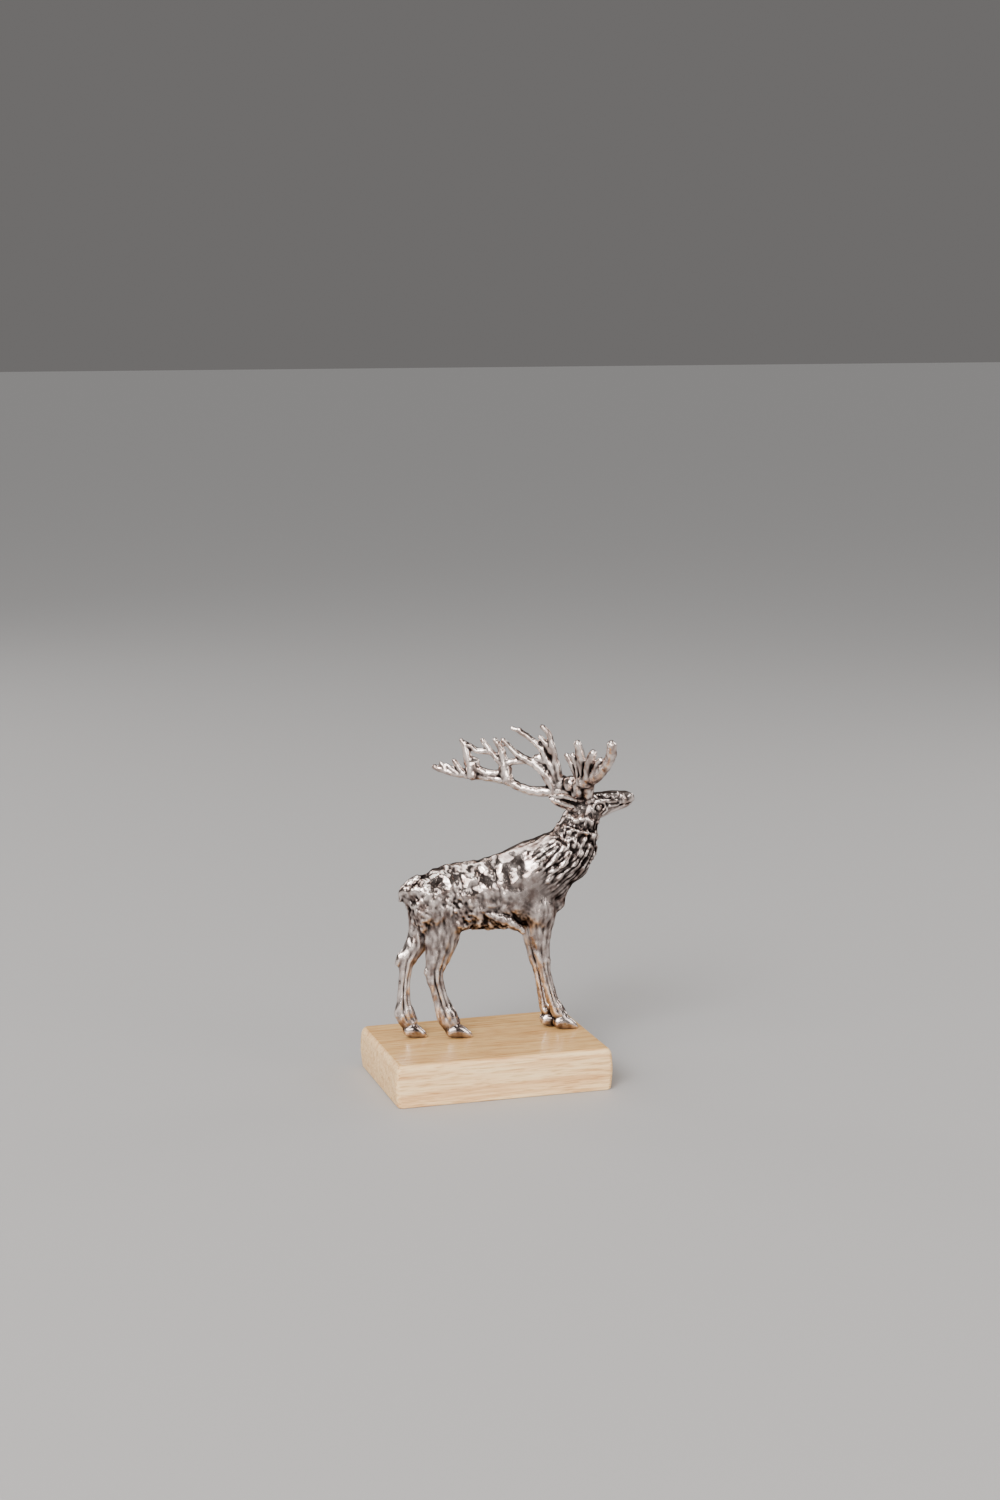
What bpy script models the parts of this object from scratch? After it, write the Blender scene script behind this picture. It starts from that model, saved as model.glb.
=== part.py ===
# Cast metal reindeer figurine on a wooden block
#
# The reindeer is one casting and the block is one piece of wood. The origin is the centre of the
# block's underside, the animal looks along +X, and +Z is up. The block's sizes are in metres. The
# figure is drawn in units, from the plane of its hoof soles up: its proportions are shares of its
# own height.

import bpy
import math
import numpy as np

# Driving dimensions, in metres
FIGURE_HEIGHT = 0.117         # hoof soles to the highest antler tip
BASE_HEIGHT = 0.016
BASE_REAR_MARGIN = 0.0118     # wood behind the rearmost hoof
BASE_FRONT_MARGIN = 0.0038    # wood in front of the foremost hoof
BASE_RIGHT_MARGIN = 0.0290    # wood beside the hooves, on the animal's right
BASE_LEFT_MARGIN = 0.0195     # and on its left
BASE_TOP_ROUNDING = 0.0028    # how far down the rounding of the top edges reaches
BASE_TOP_INSET = 0.0015       # and how far in
BASE_FOOT_ROUNDING = 0.0006
BASE_CORNER_RADIUS = 0.0020
BASE_END_BELLY = 0.0008       # how far the block's ends swell at half its height
HOOF_CLEARANCE = 0.0003       # gap between the hoof soles and the wood

# How fine the casting's skin is
FIGURE_TRIANGLES = 8800
SKIN_VOXEL = 0.50             # units
SKIN_SMOOTHING = 2
MUSCLE_VOXEL = 0.80           # the muscles melt into each other at this coarser step
MUSCLE_SMOOTHING = 9

# The figure's own proportions, in units
UNITS_TALL = 117.0
UNIT = FIGURE_HEIGHT / UNITS_TALL
HEEL_X = -29.2                # back end of the rearmost hoof
TOE_X = 37.2                  # front end of the foremost hoof
HOOF_HALF_WIDTH = 2.8
LEG_SPREAD = 2.6              # each leg from the middle plane
HIP_FLARE = 0.9               # how much farther out the tops of the legs lie
HEAD_CENTRE = (42.0, 0.5, 85.2)
HEAD_TURN = math.radians(20)  # to the animal's left
HEAD_LIFT = math.radians(3)

METAL_COLOUR = (0.78, 0.75, 0.72, 1.0)
WOOD_COLOUR = (0.78, 0.60, 0.40, 1.0)


# Shared modelling helpers

class Clay:
    """Closed shells in units, which the remesh later joins into one skin."""

    def __init__(self):
        self.points = []
        self.faces = []

    def add(self, points, faces):
        start = len(self.points)
        self.points.extend(tuple(point) for point in points)
        self.faces.extend(tuple(start + index for index in face) for face in faces)


def unit_vector(vector):
    return vector / np.linalg.norm(vector)


def smooth_rows(rows, steps):
    """Catmull-Rom curve through rows of numbers."""
    rows = np.asarray(rows, float)
    padded = np.vstack([2 * rows[0] - rows[1], rows, 2 * rows[-1] - rows[-2]])
    result = []
    for index in range(1, len(padded) - 2):
        before, start, end, after = padded[index - 1:index + 3]
        for step in range(steps):
            t = step / steps
            result.append(0.5 * (2 * start + (end - before) * t
                                 + (2 * before - 5 * start + 4 * end - after) * t ** 2
                                 + (3 * start - before - 3 * end + after) * t ** 3))
    result.append(rows[-1])
    return np.array(result)


def path_frames(points, across=None):
    """Tangent, depth axis and width axis at each point of a path."""
    tangents = np.gradient(points, axis=0)
    tangents /= np.linalg.norm(tangents, axis=1)[:, None]
    if across is None:
        across = np.eye(3)[int(np.argmin(np.abs(points[-1] - points[0])))]
    across = np.asarray(across, float)
    widths = across - tangents * (tangents @ across)[:, None]
    widths /= np.linalg.norm(widths, axis=1)[:, None]
    return tangents, np.cross(widths, tangents), widths


def round_section(angle):
    return math.cos(angle), math.sin(angle)


def cupped_section(angle, rim=0.75, hollow=0.45):
    """A leaf's section, hollow on the side that its width axis points to."""
    deep, wide = math.cos(angle), math.sin(angle)
    if wide > 0.01:
        return rim * deep, -hollow * wide
    return deep, wide


def add_tube(clay, stations, across=None, sides=12, steps=4, section=round_section):
    """Tube with round ends through stations of x, y, z, half depth and half width."""
    rows = smooth_rows(stations, steps)
    sizes = np.maximum(rows[:, 3:], 0.05)
    tangents, depths, widths = path_frames(rows[:, :3], across)
    last = len(rows) - 1
    rings = [(0, -60), (0, -35)] + [(index, 0) for index in range(last + 1)] + [(last, 35), (last, 60)]
    points = []
    for index, angle in rings:
        lean = math.radians(angle)
        centre = rows[index, :3] + tangents[index] * sizes[index].min() * math.sin(lean)
        for side in range(sides):
            deep, wide = section(2 * math.pi * side / sides)
            offset = depths[index] * sizes[index, 0] * deep + widths[index] * sizes[index, 1] * wide
            points.append(centre + offset * math.cos(lean))
    points.append(rows[0, :3] - tangents[0] * sizes[0].min())
    points.append(rows[-1, :3] + tangents[-1] * sizes[-1].min())
    add_skin(clay, points, len(rings), sides, len(points) - 2, len(points) - 1)


def add_skin(clay, points, ring_count, sides, first_pole, last_pole):
    """Faces between rings of points, closed at both poles."""
    faces = []
    end = (ring_count - 1) * sides
    for side in range(sides):
        other = (side + 1) % sides
        faces.append((first_pole, other, side))
        for start in range(0, end, sides):
            faces.append((start + side, start + other, start + sides + other, start + sides + side))
        faces.append((last_pole, end + side, end + other))
    clay.add(points, faces)


def add_ellipsoid(clay, centre, radii, pitch=0.0, yaw=0.0, sides=14, rows=8):
    """Ellipsoid whose first axis is raised by pitch and turned by yaw, in degrees."""
    rise = math.radians(pitch)
    turn = math.radians(yaw)
    ahead = np.array((math.cos(rise) * math.cos(turn), math.cos(rise) * math.sin(turn), math.sin(rise)))
    left = np.array((-math.sin(turn), math.cos(turn), 0.0))
    up = np.cross(ahead, left)
    centre = np.asarray(centre, float)
    points = []
    for row in range(1, rows):
        lean = math.pi * row / rows
        for side in range(sides):
            angle = 2 * math.pi * side / sides
            points.append(centre - ahead * radii[0] * math.cos(lean)
                          + left * radii[1] * math.sin(lean) * math.cos(angle)
                          + up * radii[2] * math.sin(lean) * math.sin(angle))
    points.append(centre - ahead * radii[0])
    points.append(centre + ahead * radii[0])
    add_skin(clay, points, rows - 1, sides, len(points) - 2, len(points) - 1)


# Body: stations of x, y, z, half depth and half width

TRUNK = [
    (-27.4, 0.0, 56.3, 4.6, 3.8),
    (-24.8, 0.0, 55.4, 7.4, 5.8),
    (-19.5, 0.0, 54.3, 10.6, 7.2),
    (-13.0, 0.0, 54.2, 12.6, 7.6),
    (-6.0, 0.0, 54.0, 13.4, 7.6),
    (1.5, 0.0, 53.8, 14.0, 8.1),
    (9.0, 0.0, 54.4, 14.6, 8.3),
    (16.0, 0.0, 56.6, 15.3, 8.2),
    (22.0, 0.0, 58.4, 14.6, 7.7),
    (27.0, 0.0, 58.0, 11.6, 6.6),
    (30.4, 0.0, 56.6, 8.0, 5.2),
]
NECK = [
    (17.5, 0.0, 57.0, 14.6, 7.8),
    (23.6, 0.0, 60.6, 14.4, 8.0),
    (29.8, 0.0, 64.9, 11.8, 7.8),
    (35.1, 0.0, 68.9, 10.6, 7.4),
    (37.6, 0.0, 74.0, 8.7, 6.7),
    (39.1, 0.1, 78.1, 7.4, 5.9),
    (40.5, 0.2, 82.6, 6.4, 5.1),
    (41.6, 0.4, 86.0, 5.2, 4.5),
]
TAIL = [
    (-24.2, 0.0, 62.0, 1.2, 1.8),
    (-28.0, 0.0, 59.6, 1.4, 2.1),
    (-30.2, 0.0, 56.4, 1.4, 2.0),
    (-31.3, 0.0, 53.5, 1.0, 1.4),
]
MIDLINE = (0.0, 1.0, 0.0)     # the width axis of what lies along the middle plane


def add_torso(clay):
    add_tube(clay, TRUNK, MIDLINE, sides=20)
    add_tube(clay, NECK, MIDLINE, sides=20)
    # Withers, and breast down to the fore legs
    add_ellipsoid(clay, (18.0, 0.0, 68.8), (8.5, 4.2, 4.2), pitch=14)
    add_ellipsoid(clay, (29.0, 0.0, 50.6), (8.6, 5.4, 5.0), pitch=58)
    for side in (-1, 1):
        # Haunch, buttock, flank, shoulder blade and upper arm
        add_ellipsoid(clay, (-18.8, side * 3.4, 52.4), (11.0, 4.8, 8.0), pitch=-58)
        add_ellipsoid(clay, (-23.6, side * 2.9, 49.4), (8.4, 3.6, 4.6), pitch=-80)
        add_ellipsoid(clay, (-9.0, side * 3.6, 46.0), (8.0, 3.6, 5.0), pitch=24)
        add_ellipsoid(clay, (19.0, side * 4.4, 60.0), (12.0, 4.3, 6.4), pitch=60)
        add_ellipsoid(clay, (21.6, side * 4.0, 48.6), (9.0, 4.0, 6.4), pitch=-78)


# Legs: stations of x, z, half depth and half width

RIGHT_HIND = [
    (-18.4, 53.0, 7.6, 3.6),
    (-15.4, 45.5, 7.8, 3.5),
    (-16.0, 38.0, 6.8, 3.1),
    (-17.2, 31.6, 5.0, 2.7),
    (-18.6, 26.6, 3.9, 2.3),
    (-18.4, 22.6, 3.3, 2.1),
    (-17.0, 17.4, 2.9, 1.9),
    (-15.5, 12.2, 3.3, 2.0),
    (-13.9, 8.2, 4.0, 2.4),
    (-12.0, 4.6, 3.6, 2.4),
]
LEFT_HIND = [
    (-20.0, 53.0, 7.4, 3.4),
    (-20.6, 45.0, 6.6, 3.3),
    (-22.8, 38.4, 5.0, 2.9),
    (-25.8, 33.4, 3.9, 2.4),
    (-28.1, 29.4, 3.2, 2.1),
    (-28.7, 25.0, 2.4, 1.8),
    (-29.4, 20.0, 2.3, 1.7),
    (-29.5, 14.2, 2.7, 1.8),
    (-29.3, 9.6, 3.9, 2.3),
    (-27.2, 5.2, 3.4, 2.3),
]
RIGHT_FORE = [
    (22.6, 50.0, 7.6, 3.4),
    (23.0, 44.4, 6.2, 3.1),
    (22.9, 38.6, 4.7, 2.7),
    (23.3, 32.4, 3.6, 2.4),
    (23.9, 27.2, 2.9, 2.3),
    (24.9, 22.4, 2.3, 1.8),
    (26.4, 16.4, 2.1, 1.7),
    (28.0, 11.0, 2.3, 1.9),
    (29.6, 7.4, 2.8, 2.3),
    (31.4, 4.4, 2.7, 2.3),
]
LEFT_FORE = [
    (20.6, 50.0, 6.0, 3.2),
    (20.6, 43.5, 4.9, 2.9),
    (21.0, 38.0, 3.9, 2.5),
    (21.9, 32.0, 3.3, 2.2),
    (22.9, 26.6, 2.8, 2.2),
    (24.0, 21.6, 2.2, 1.7),
    (24.9, 16.0, 2.1, 1.7),
    (25.8, 11.0, 2.3, 1.9),
    (26.8, 7.4, 2.7, 2.3),
    (28.2, 4.4, 2.6, 2.3),
]
RIGHT_HOCK = (-21.0, 27.4)
LEFT_HOCK = (-30.8, 30.8)
KNEE_STATION = 4
HOOVES = [                    # heel x, toe x, side
    (-14.2, -4.6, -1),
    (HEEL_X, -21.2, 1),
    (28.6, TOE_X, -1),
    (25.0, 33.4, 1),
]
CLAW_SPREAD = 1.3             # each claw from the middle of its hoof
CLAW_SPLAY = 0.4              # how much farther out its toe lies
DEWCLAW = (0.9, 1.5, 6.2)     # ahead of the heel, from the middle of the hoof, and up
CLAW = [                      # share of the length, z, half height, half width
    (0.08, 2.4, 2.0, 1.2),
    (0.30, 2.6, 2.7, 1.5),
    (0.58, 2.0, 2.4, 1.5),
    (0.82, 1.1, 1.6, 1.2),
    (0.95, 0.5, 0.8, 0.7),
]


def add_leg(clay, stations, side):
    rows = []
    for index, (x, z, depth, width) in enumerate(stations):
        flare = HIP_FLARE * max(0.0, 1 - index / 3)
        rows.append((x, side * (LEG_SPREAD + flare), z, depth, width))
    add_tube(clay, rows, MIDLINE, sides=14)


def add_legs(clay):
    for stations, side in ((RIGHT_HIND, -1), (LEFT_HIND, 1), (RIGHT_FORE, -1), (LEFT_FORE, 1)):
        add_leg(clay, stations, side)
    for (x, z), side in ((RIGHT_HOCK, -1), (LEFT_HOCK, 1)):
        add_ellipsoid(clay, (x, side * LEG_SPREAD, z), (3.2, 1.5, 1.5), pitch=66)
    for stations, side in ((RIGHT_FORE, -1), (LEFT_FORE, 1)):
        x, z = stations[KNEE_STATION][:2]
        add_ellipsoid(clay, (x + 0.5, side * LEG_SPREAD, z), (3.2, 2.4, 2.7), pitch=90)


def add_hoof(clay, heel_x, toe_x, side):
    """Two claws side by side, and two dewclaws above the heel."""
    length = toe_x - heel_x
    for part in (-1, 1):
        middle = side * LEG_SPREAD
        claw = [(heel_x + share * length, middle + part * (CLAW_SPREAD + CLAW_SPLAY * share), z, high, wide)
                for share, z, high, wide in CLAW]
        add_tube(clay, claw, MIDLINE, sides=12)
        ahead, out, up = DEWCLAW
        dewclaw = (heel_x + ahead, middle + part * out, up)
        add_ellipsoid(clay, dewclaw, (1.6, 0.9, 1.0), pitch=-60, sides=10, rows=6)


# Head: places are measured from its centre, ahead, to its left and up

def head_point(ahead, left, up):
    forward = np.array((math.cos(HEAD_LIFT) * math.cos(HEAD_TURN),
                        math.cos(HEAD_LIFT) * math.sin(HEAD_TURN), math.sin(HEAD_LIFT)))
    sideways = np.array((-math.sin(HEAD_TURN), math.cos(HEAD_TURN), 0.0))
    return np.array(HEAD_CENTRE) + forward * ahead + sideways * left + np.cross(forward, sideways) * up


SIDEWAYS = (-math.sin(HEAD_TURN), math.cos(HEAD_TURN), 0.0)
SKULL = [                     # ahead, up, half depth, half width
    (-4.6, 0.0, 3.6, 3.2),
    (-1.0, 0.1, 4.9, 4.3),
    (3.5, -0.3, 4.7, 4.1),
    (8.0, -0.1, 4.5, 3.2),
    (12.5, 0.1, 4.1, 2.6),
    (16.5, -0.2, 3.6, 2.3),
    (19.8, -0.4, 3.3, 2.5),
    (21.6, -0.5, 2.4, 2.1),
]
JAW = [
    (0.0, -3.6, 2.4, 2.6),
    (6.5, -3.9, 1.9, 2.0),
    (12.0, -3.3, 1.4, 1.6),
    (19.0, -2.7, 1.1, 1.6),
]
# The right ear is laid back along the neck, and the left one is turned outward
RIGHT_EAR = [                 # x, y, z, half breadth, half thickness
    (40.4, -2.8, 85.4, 1.7, 1.6),
    (35.8, -5.0, 87.2, 2.6, 2.2),
    (30.8, -6.6, 89.2, 3.0, 2.4),
    (27.2, -7.6, 90.4, 1.9, 1.7),
    (25.6, -8.0, 91.0, 0.8, 0.8),
]
LEFT_EAR = [
    (40.0, 2.0, 85.6, 1.7, 1.6),
    (38.8, 5.4, 87.0, 2.6, 2.2),
    (37.4, 9.0, 88.6, 2.9, 2.3),
    (36.4, 11.8, 89.6, 1.9, 1.7),
    (36.0, 13.2, 90.0, 0.8, 0.8),
]
RIGHT_EAR_OPENING = (0.3, -1.0, -0.15)
LEFT_EAR_OPENING = (1.0, 0.2, -0.2)


def add_head(clay):
    turn = math.degrees(HEAD_TURN)
    for rows, sides in ((SKULL, 16), (JAW, 12)):
        stations = [(*head_point(ahead, 0.0, up), depth, width) for ahead, up, depth, width in rows]
        add_tube(clay, stations, SIDEWAYS, sides=sides)
    for side in (-1, 1):
        # Brow, eye, cheek, cheekbone, nostril and upper lip
        add_ellipsoid(clay, head_point(3.6, side * 3.2, 2.0), (3.0, 1.5, 1.1), pitch=-6, yaw=turn)
        add_ellipsoid(clay, head_point(3.4, side * 3.5, -0.4), (1.9, 1.2, 1.5), yaw=turn)
        add_ellipsoid(clay, head_point(1.8, side * 2.6, -3.2), (3.6, 2.1, 2.8), pitch=-12, yaw=turn)
        add_ellipsoid(clay, head_point(9.6, side * 2.2, 0.9), (5.6, 1.0, 0.9), pitch=-2, yaw=turn - side * 8)
        add_ellipsoid(clay, head_point(20.8, side * 1.5, 0.9), (1.6, 1.1, 1.3), yaw=turn)
        add_ellipsoid(clay, head_point(18.6, side * 1.4, -1.0), (1.7, 1.4, 2.3), pitch=20, yaw=turn)
    # Brow between the antlers
    add_ellipsoid(clay, head_point(0.6, 0.0, 3.6), (4.6, 4.2, 2.2), yaw=turn)
    add_tube(clay, RIGHT_EAR, RIGHT_EAR_OPENING, sides=16, section=cupped_section)
    add_tube(clay, LEFT_EAR, LEFT_EAR_OPENING, sides=16, section=cupped_section)


# Antlers: each branch has its radius at the root and at the tip, and the places it grows through

LEFT_ANTLER = {
    "beam": (2.5, 1.1, [
        (38.1, 1.6, 91.6), (33.6, 3.8, 91.4), (29.4, 5.8, 90.8), (24.8, 8.1, 90.7), (20.1, 10.3, 91.8),
        (13.6, 13.4, 94.7), (4.6, 17.8, 96.0), (-3.5, 21.7, 96.8), (-10.6, 25.1, 99.3)]),
    "first_tine": (1.6, 1.0, [
        (33.8, 3.0, 90.6), (32.2, 3.6, 99.1), (30.8, 3.6, 104.8), (29.0, 3.8, 112.4), (26.6, 4.6, 115.9)]),
    "first_snag": (1.4, 0.9, [(29.6, 4.2, 106.4), (27.6, 4.8, 109.4), (25.8, 5.4, 112.0)]),
    "second_tine": (1.7, 1.0, [
        (32.2, 4.2, 94.0), (29.2, 4.9, 101.0), (25.8, 5.8, 108.0), (18.4, 8.8, 114.6)]),
    "second_snag": (1.0, 0.8, [(21.6, 7.5, 112.4), (16.1, 10.0, 115.2)]),
    "third_tine": (2.3, 0.95, [
        (31.2, 5.0, 92.0), (27.4, 6.0, 98.4), (22.9, 7.8, 102.1), (18.0, 10.0, 105.2), (13.2, 12.1, 110.4)]),
    "fourth_tine": (2.5, 1.0, [
        (14.9, 12.7, 95.0), (13.8, 12.9, 99.8), (12.8, 12.9, 105.8), (10.4, 13.4, 110.5)]),
    "cross_bar": (1.3, 1.3, [(14.0, 12.6, 101.6), (18.1, 10.6, 102.3), (23.0, 8.2, 102.4)]),
    "fifth_tine": (1.8, 0.95, [(13.7, 12.9, 101.2), (11.0, 14.1, 103.4), (5.9, 15.9, 110.2)]),
    "palm_rim": (1.5, 1.7, [(12.0, 14.2, 97.4), (8.7, 15.8, 97.2), (5.0, 17.5, 98.6), (2.4, 18.8, 101.4)]),
    "sixth_tine": (2.4, 0.95, [
        (2.7, 18.7, 96.6), (1.5, 18.7, 101.4), (0.2, 18.9, 106.4), (-1.3, 19.3, 110.0)]),
    "upper_bar": (1.0, 1.3, [
        (-0.9, 19.3, 109.4), (1.8, 18.2, 107.8), (4.6, 17.1, 106.0), (8.2, 15.3, 106.0)]),
    "seventh_tine": (1.5, 0.85, [(0.2, 19.9, 96.3), (-1.9, 20.7, 99.0), (-3.8, 21.5, 102.0)]),
    "eighth_tine": (1.3, 0.8, [(-2.2, 21.1, 96.9), (-4.5, 22.0, 98.7), (-6.3, 22.8, 100.3)]),
    "ninth_tine": (1.2, 0.8, [(-5.7, 22.8, 97.4), (-7.2, 23.3, 99.2), (-8.4, 23.8, 101.0)]),
}
RIGHT_ANTLER = {
    "beam": (2.7, 1.8, [
        (42.0, -1.2, 89.0), (41.4, -4.0, 93.2), (41.1, -7.5, 96.2), (41.7, -12.0, 98.3),
        (42.5, -17.5, 101.4), (43.3, -22.5, 105.4), (43.6, -26.0, 109.0), (42.7, -28.8, 113.2)]),
    "root": (2.6, 2.0, [(38.6, -1.5, 90.6), (38.0, -4.0, 94.6), (38.6, -7.0, 97.0)]),
    "first_tine": (1.9, 1.1, [(38.4, -4.5, 95.4), (36.4, -4.3, 100.6), (33.6, -3.2, 105.6)]),
    "second_tine": (2.3, 1.5, [(39.3, -8.0, 96.6), (38.0, -9.0, 103.1), (35.4, -11.0, 111.2)]),
    "second_snag": (1.8, 1.2, [(37.9, -6.4, 98.4), (36.6, -7.0, 102.6), (34.8, -7.2, 106.4)]),
    "third_tine": (2.3, 1.7, [(39.8, -10.6, 98.0), (39.5, -13.0, 104.1), (40.1, -15.0, 107.9)]),
    "third_snag": (2.0, 1.3, [(40.9, -13.0, 98.6), (41.4, -16.5, 103.2), (41.6, -19.0, 106.0)]),
}
LEFT_PALM_TURN = -25.7        # degrees, the way that the left antler's flat side lies
LEFT_PALM = [                 # place, and half length, thickness and height of a web between branches
    ((14.0, 13.0, 98.0), (2.8, 1.4, 4.8)),
    ((2.4, 18.5, 101.2), (3.2, 1.4, 2.8)),
    ((36.4, -0.4, 94.4), (3.6, 2.6, 3.2)),
    ((30.2, 5.4, 95.4), (2.2, 1.5, 3.6)),
    ((26.4, 6.2, 103.2), (3.8, 1.3, 2.4)),
    ((34.0, 3.2, 93.8), (3.4, 2.2, 3.4)),
    ((30.0, 4.6, 101.6), (2.0, 1.3, 5.8)),
]
RIGHT_PALM = ((39.2, -6.6, 96.8), (3.2, 5.0, 3.4))


def add_antlers(clay):
    for antler in (LEFT_ANTLER, RIGHT_ANTLER):
        for root_radius, tip_radius, places in antler.values():
            stations = []
            for index, place in enumerate(places):
                share = index / (len(places) - 1)
                radius = root_radius + (tip_radius - root_radius) * share
                stations.append((*place, radius, radius))
            add_tube(clay, stations, sides=10, steps=3)
    for place, radii in LEFT_PALM:
        add_ellipsoid(clay, place, radii, yaw=LEFT_PALM_TURN)
    add_ellipsoid(clay, *RIGHT_PALM)


# Mane: rows of locks that lie along the neck, from under the jaw down to the shoulder

MANE_ROWS = 8
MANE_START = 0.72             # share of the neck's length at the top row's roots
MANE_END = 0.20
LOCKS_IN_ROW = 15
BARE_ROW = 5                  # from this row down, the top of the neck has no locks
LOCK_LENGTH = 7.2
LOCK_WIDTH = 1.55
LOCK_THICKNESS = 1.05
LOCK_SWAY = 0.9
LOCK = [                      # share of the length, height over the skin, width and thickness shares
    (0.0, -0.8, 0.7, 0.6),
    (0.3, -0.1, 1.0, 1.0),
    (0.65, 0.1, 0.9, 1.0),
    (1.0, 0.0, 0.3, 0.4),
]


def skin_of_neck(share, angle, curve, frames):
    """Point on the neck's skin, its outward direction and the neck's own direction there."""
    place = share * (len(curve) - 1)
    index = min(int(place), len(curve) - 2)
    mix = place - index
    row = curve[index] * (1 - mix) + curve[index + 1] * mix
    tangent, depth, width = (axis[index] * (1 - mix) + axis[index + 1] * mix for axis in frames)
    point = row[:3] + depth * row[3] * math.cos(angle) + width * row[4] * math.sin(angle)
    outward = unit_vector(depth * math.cos(angle) / row[3] + width * math.sin(angle) / row[4])
    return point, outward, unit_vector(tangent)


def add_mane(clay):
    curve = smooth_rows(NECK, 6)
    frames = path_frames(curve[:, :3], MIDLINE)
    for row in range(MANE_ROWS):
        share = MANE_START + (MANE_END - MANE_START) * row / (MANE_ROWS - 1)
        for index in range(LOCKS_IN_ROW):
            angle = 2 * math.pi * (index + 0.5 * (row % 2)) / LOCKS_IN_ROW
            if row >= BARE_ROW and math.cos(angle) < -0.5:
                continue
            point, outward, along = skin_of_neck(share, angle, curve, frames)
            across = np.cross(outward, along)
            sway = LOCK_SWAY * math.sin(2.3 * index + 1.7 * row)
            stations = []
            for reach, rise, wide, thick in LOCK:
                centre = (point - along * LOCK_LENGTH * (reach - 0.2) + outward * rise
                          + across * sway * math.sin(math.pi * reach * 0.8))
                stations.append((*centre, LOCK_THICKNESS * thick, LOCK_WIDTH * wide))
            add_tube(clay, stations, across, sides=8, steps=2)


# Materials, the two pieces and their finishing

def make_material(name, colour, roughness, metallic):
    material = bpy.data.materials.new(name)
    material.use_nodes = True
    shader = material.node_tree.nodes["Principled BSDF"]
    shader.inputs["Base Color"].default_value = colour
    shader.inputs["Roughness"].default_value = roughness
    shader.inputs["Metallic"].default_value = metallic
    return material


def make_object(name, points, faces):
    mesh = bpy.data.meshes.new(name)
    mesh.from_pydata([tuple(point) for point in points], [], faces)
    piece = bpy.data.objects.new(name, mesh)
    bpy.context.scene.collection.objects.link(piece)
    return piece


def join_skin(piece, voxel, smoothing):
    """Modifiers that turn overlapping shells into one smooth skin."""
    skin = piece.modifiers.new("one_skin", "REMESH")
    skin.mode = "VOXEL"
    skin.voxel_size = voxel
    soften = piece.modifiers.new("soften", "SMOOTH")
    soften.factor = 0.5
    soften.iterations = round(smoothing)


def evaluated_mesh(piece):
    bpy.context.view_layer.update()
    graph = bpy.context.evaluated_depsgraph_get()
    mesh = piece.evaluated_get(graph).to_mesh()
    mesh.calc_loop_triangles()
    return mesh


def melted(clay):
    """The same clay with its shells melted into each other."""
    lump = make_object("muscles", clay.points, clay.faces)
    join_skin(lump, MUSCLE_VOXEL, MUSCLE_SMOOTHING)
    mesh = evaluated_mesh(lump)
    result = Clay()
    result.add([tuple(vertex.co) for vertex in mesh.vertices],
               [tuple(polygon.vertices) for polygon in mesh.polygons])
    bpy.data.objects.remove(lump)
    return result


def make_sole_cutter(size):
    """Box whose top is the plane of the hoof soles."""
    outline = ((-1, -1), (1, -1), (1, 1), (-1, 1))
    corners = [(x * size, y * size, z * size) for z in (-1, 0) for x, y in outline]
    faces = [(3, 2, 1, 0), (4, 5, 6, 7), (0, 1, 5, 4), (1, 2, 6, 5), (2, 3, 7, 6), (3, 0, 4, 7)]
    cutter = make_object("sole_cutter", corners, faces)
    cutter.hide_render = True
    cutter.display_type = "WIRE"
    return cutter


def make_reindeer(location):
    muscles = Clay()
    add_torso(muscles)
    add_legs(muscles)
    clay = melted(muscles)
    add_legs(clay)
    for heel_x, toe_x, side in HOOVES:
        add_hoof(clay, heel_x, toe_x, side)
    add_tube(clay, TAIL, MIDLINE)
    add_head(clay)
    add_antlers(clay)
    add_mane(clay)
    piece = make_object("reindeer", UNIT * np.array(clay.points), clay.faces)
    piece.data.materials.append(make_material("cast_metal", METAL_COLOUR, 0.15, 1.0))
    join_skin(piece, SKIN_VOXEL * UNIT, SKIN_SMOOTHING)
    total = len(evaluated_mesh(piece).loop_triangles)
    fewer = piece.modifiers.new("fewer_faces", "DECIMATE")
    fewer.ratio = min(1.0, FIGURE_TRIANGLES / total)
    cutter = make_sole_cutter(FIGURE_HEIGHT)
    soles = piece.modifiers.new("flat_soles", "BOOLEAN")
    soles.operation = "DIFFERENCE"
    soles.object = cutter
    piece.location = location
    cutter.location = location


def rounded_outline(half_x, half_y, radius, steps):
    """Rectangle with round corners, as points in order."""
    outline = []
    for quarter, (x, y) in enumerate(((1, 1), (-1, 1), (-1, -1), (1, -1))):
        for step in range(steps + 1):
            angle = math.pi / 2 * (quarter + step / steps)
            outline.append((x * (half_x - radius) + radius * math.cos(angle),
                            y * (half_y - radius) + radius * math.sin(angle)))
    return outline


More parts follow.
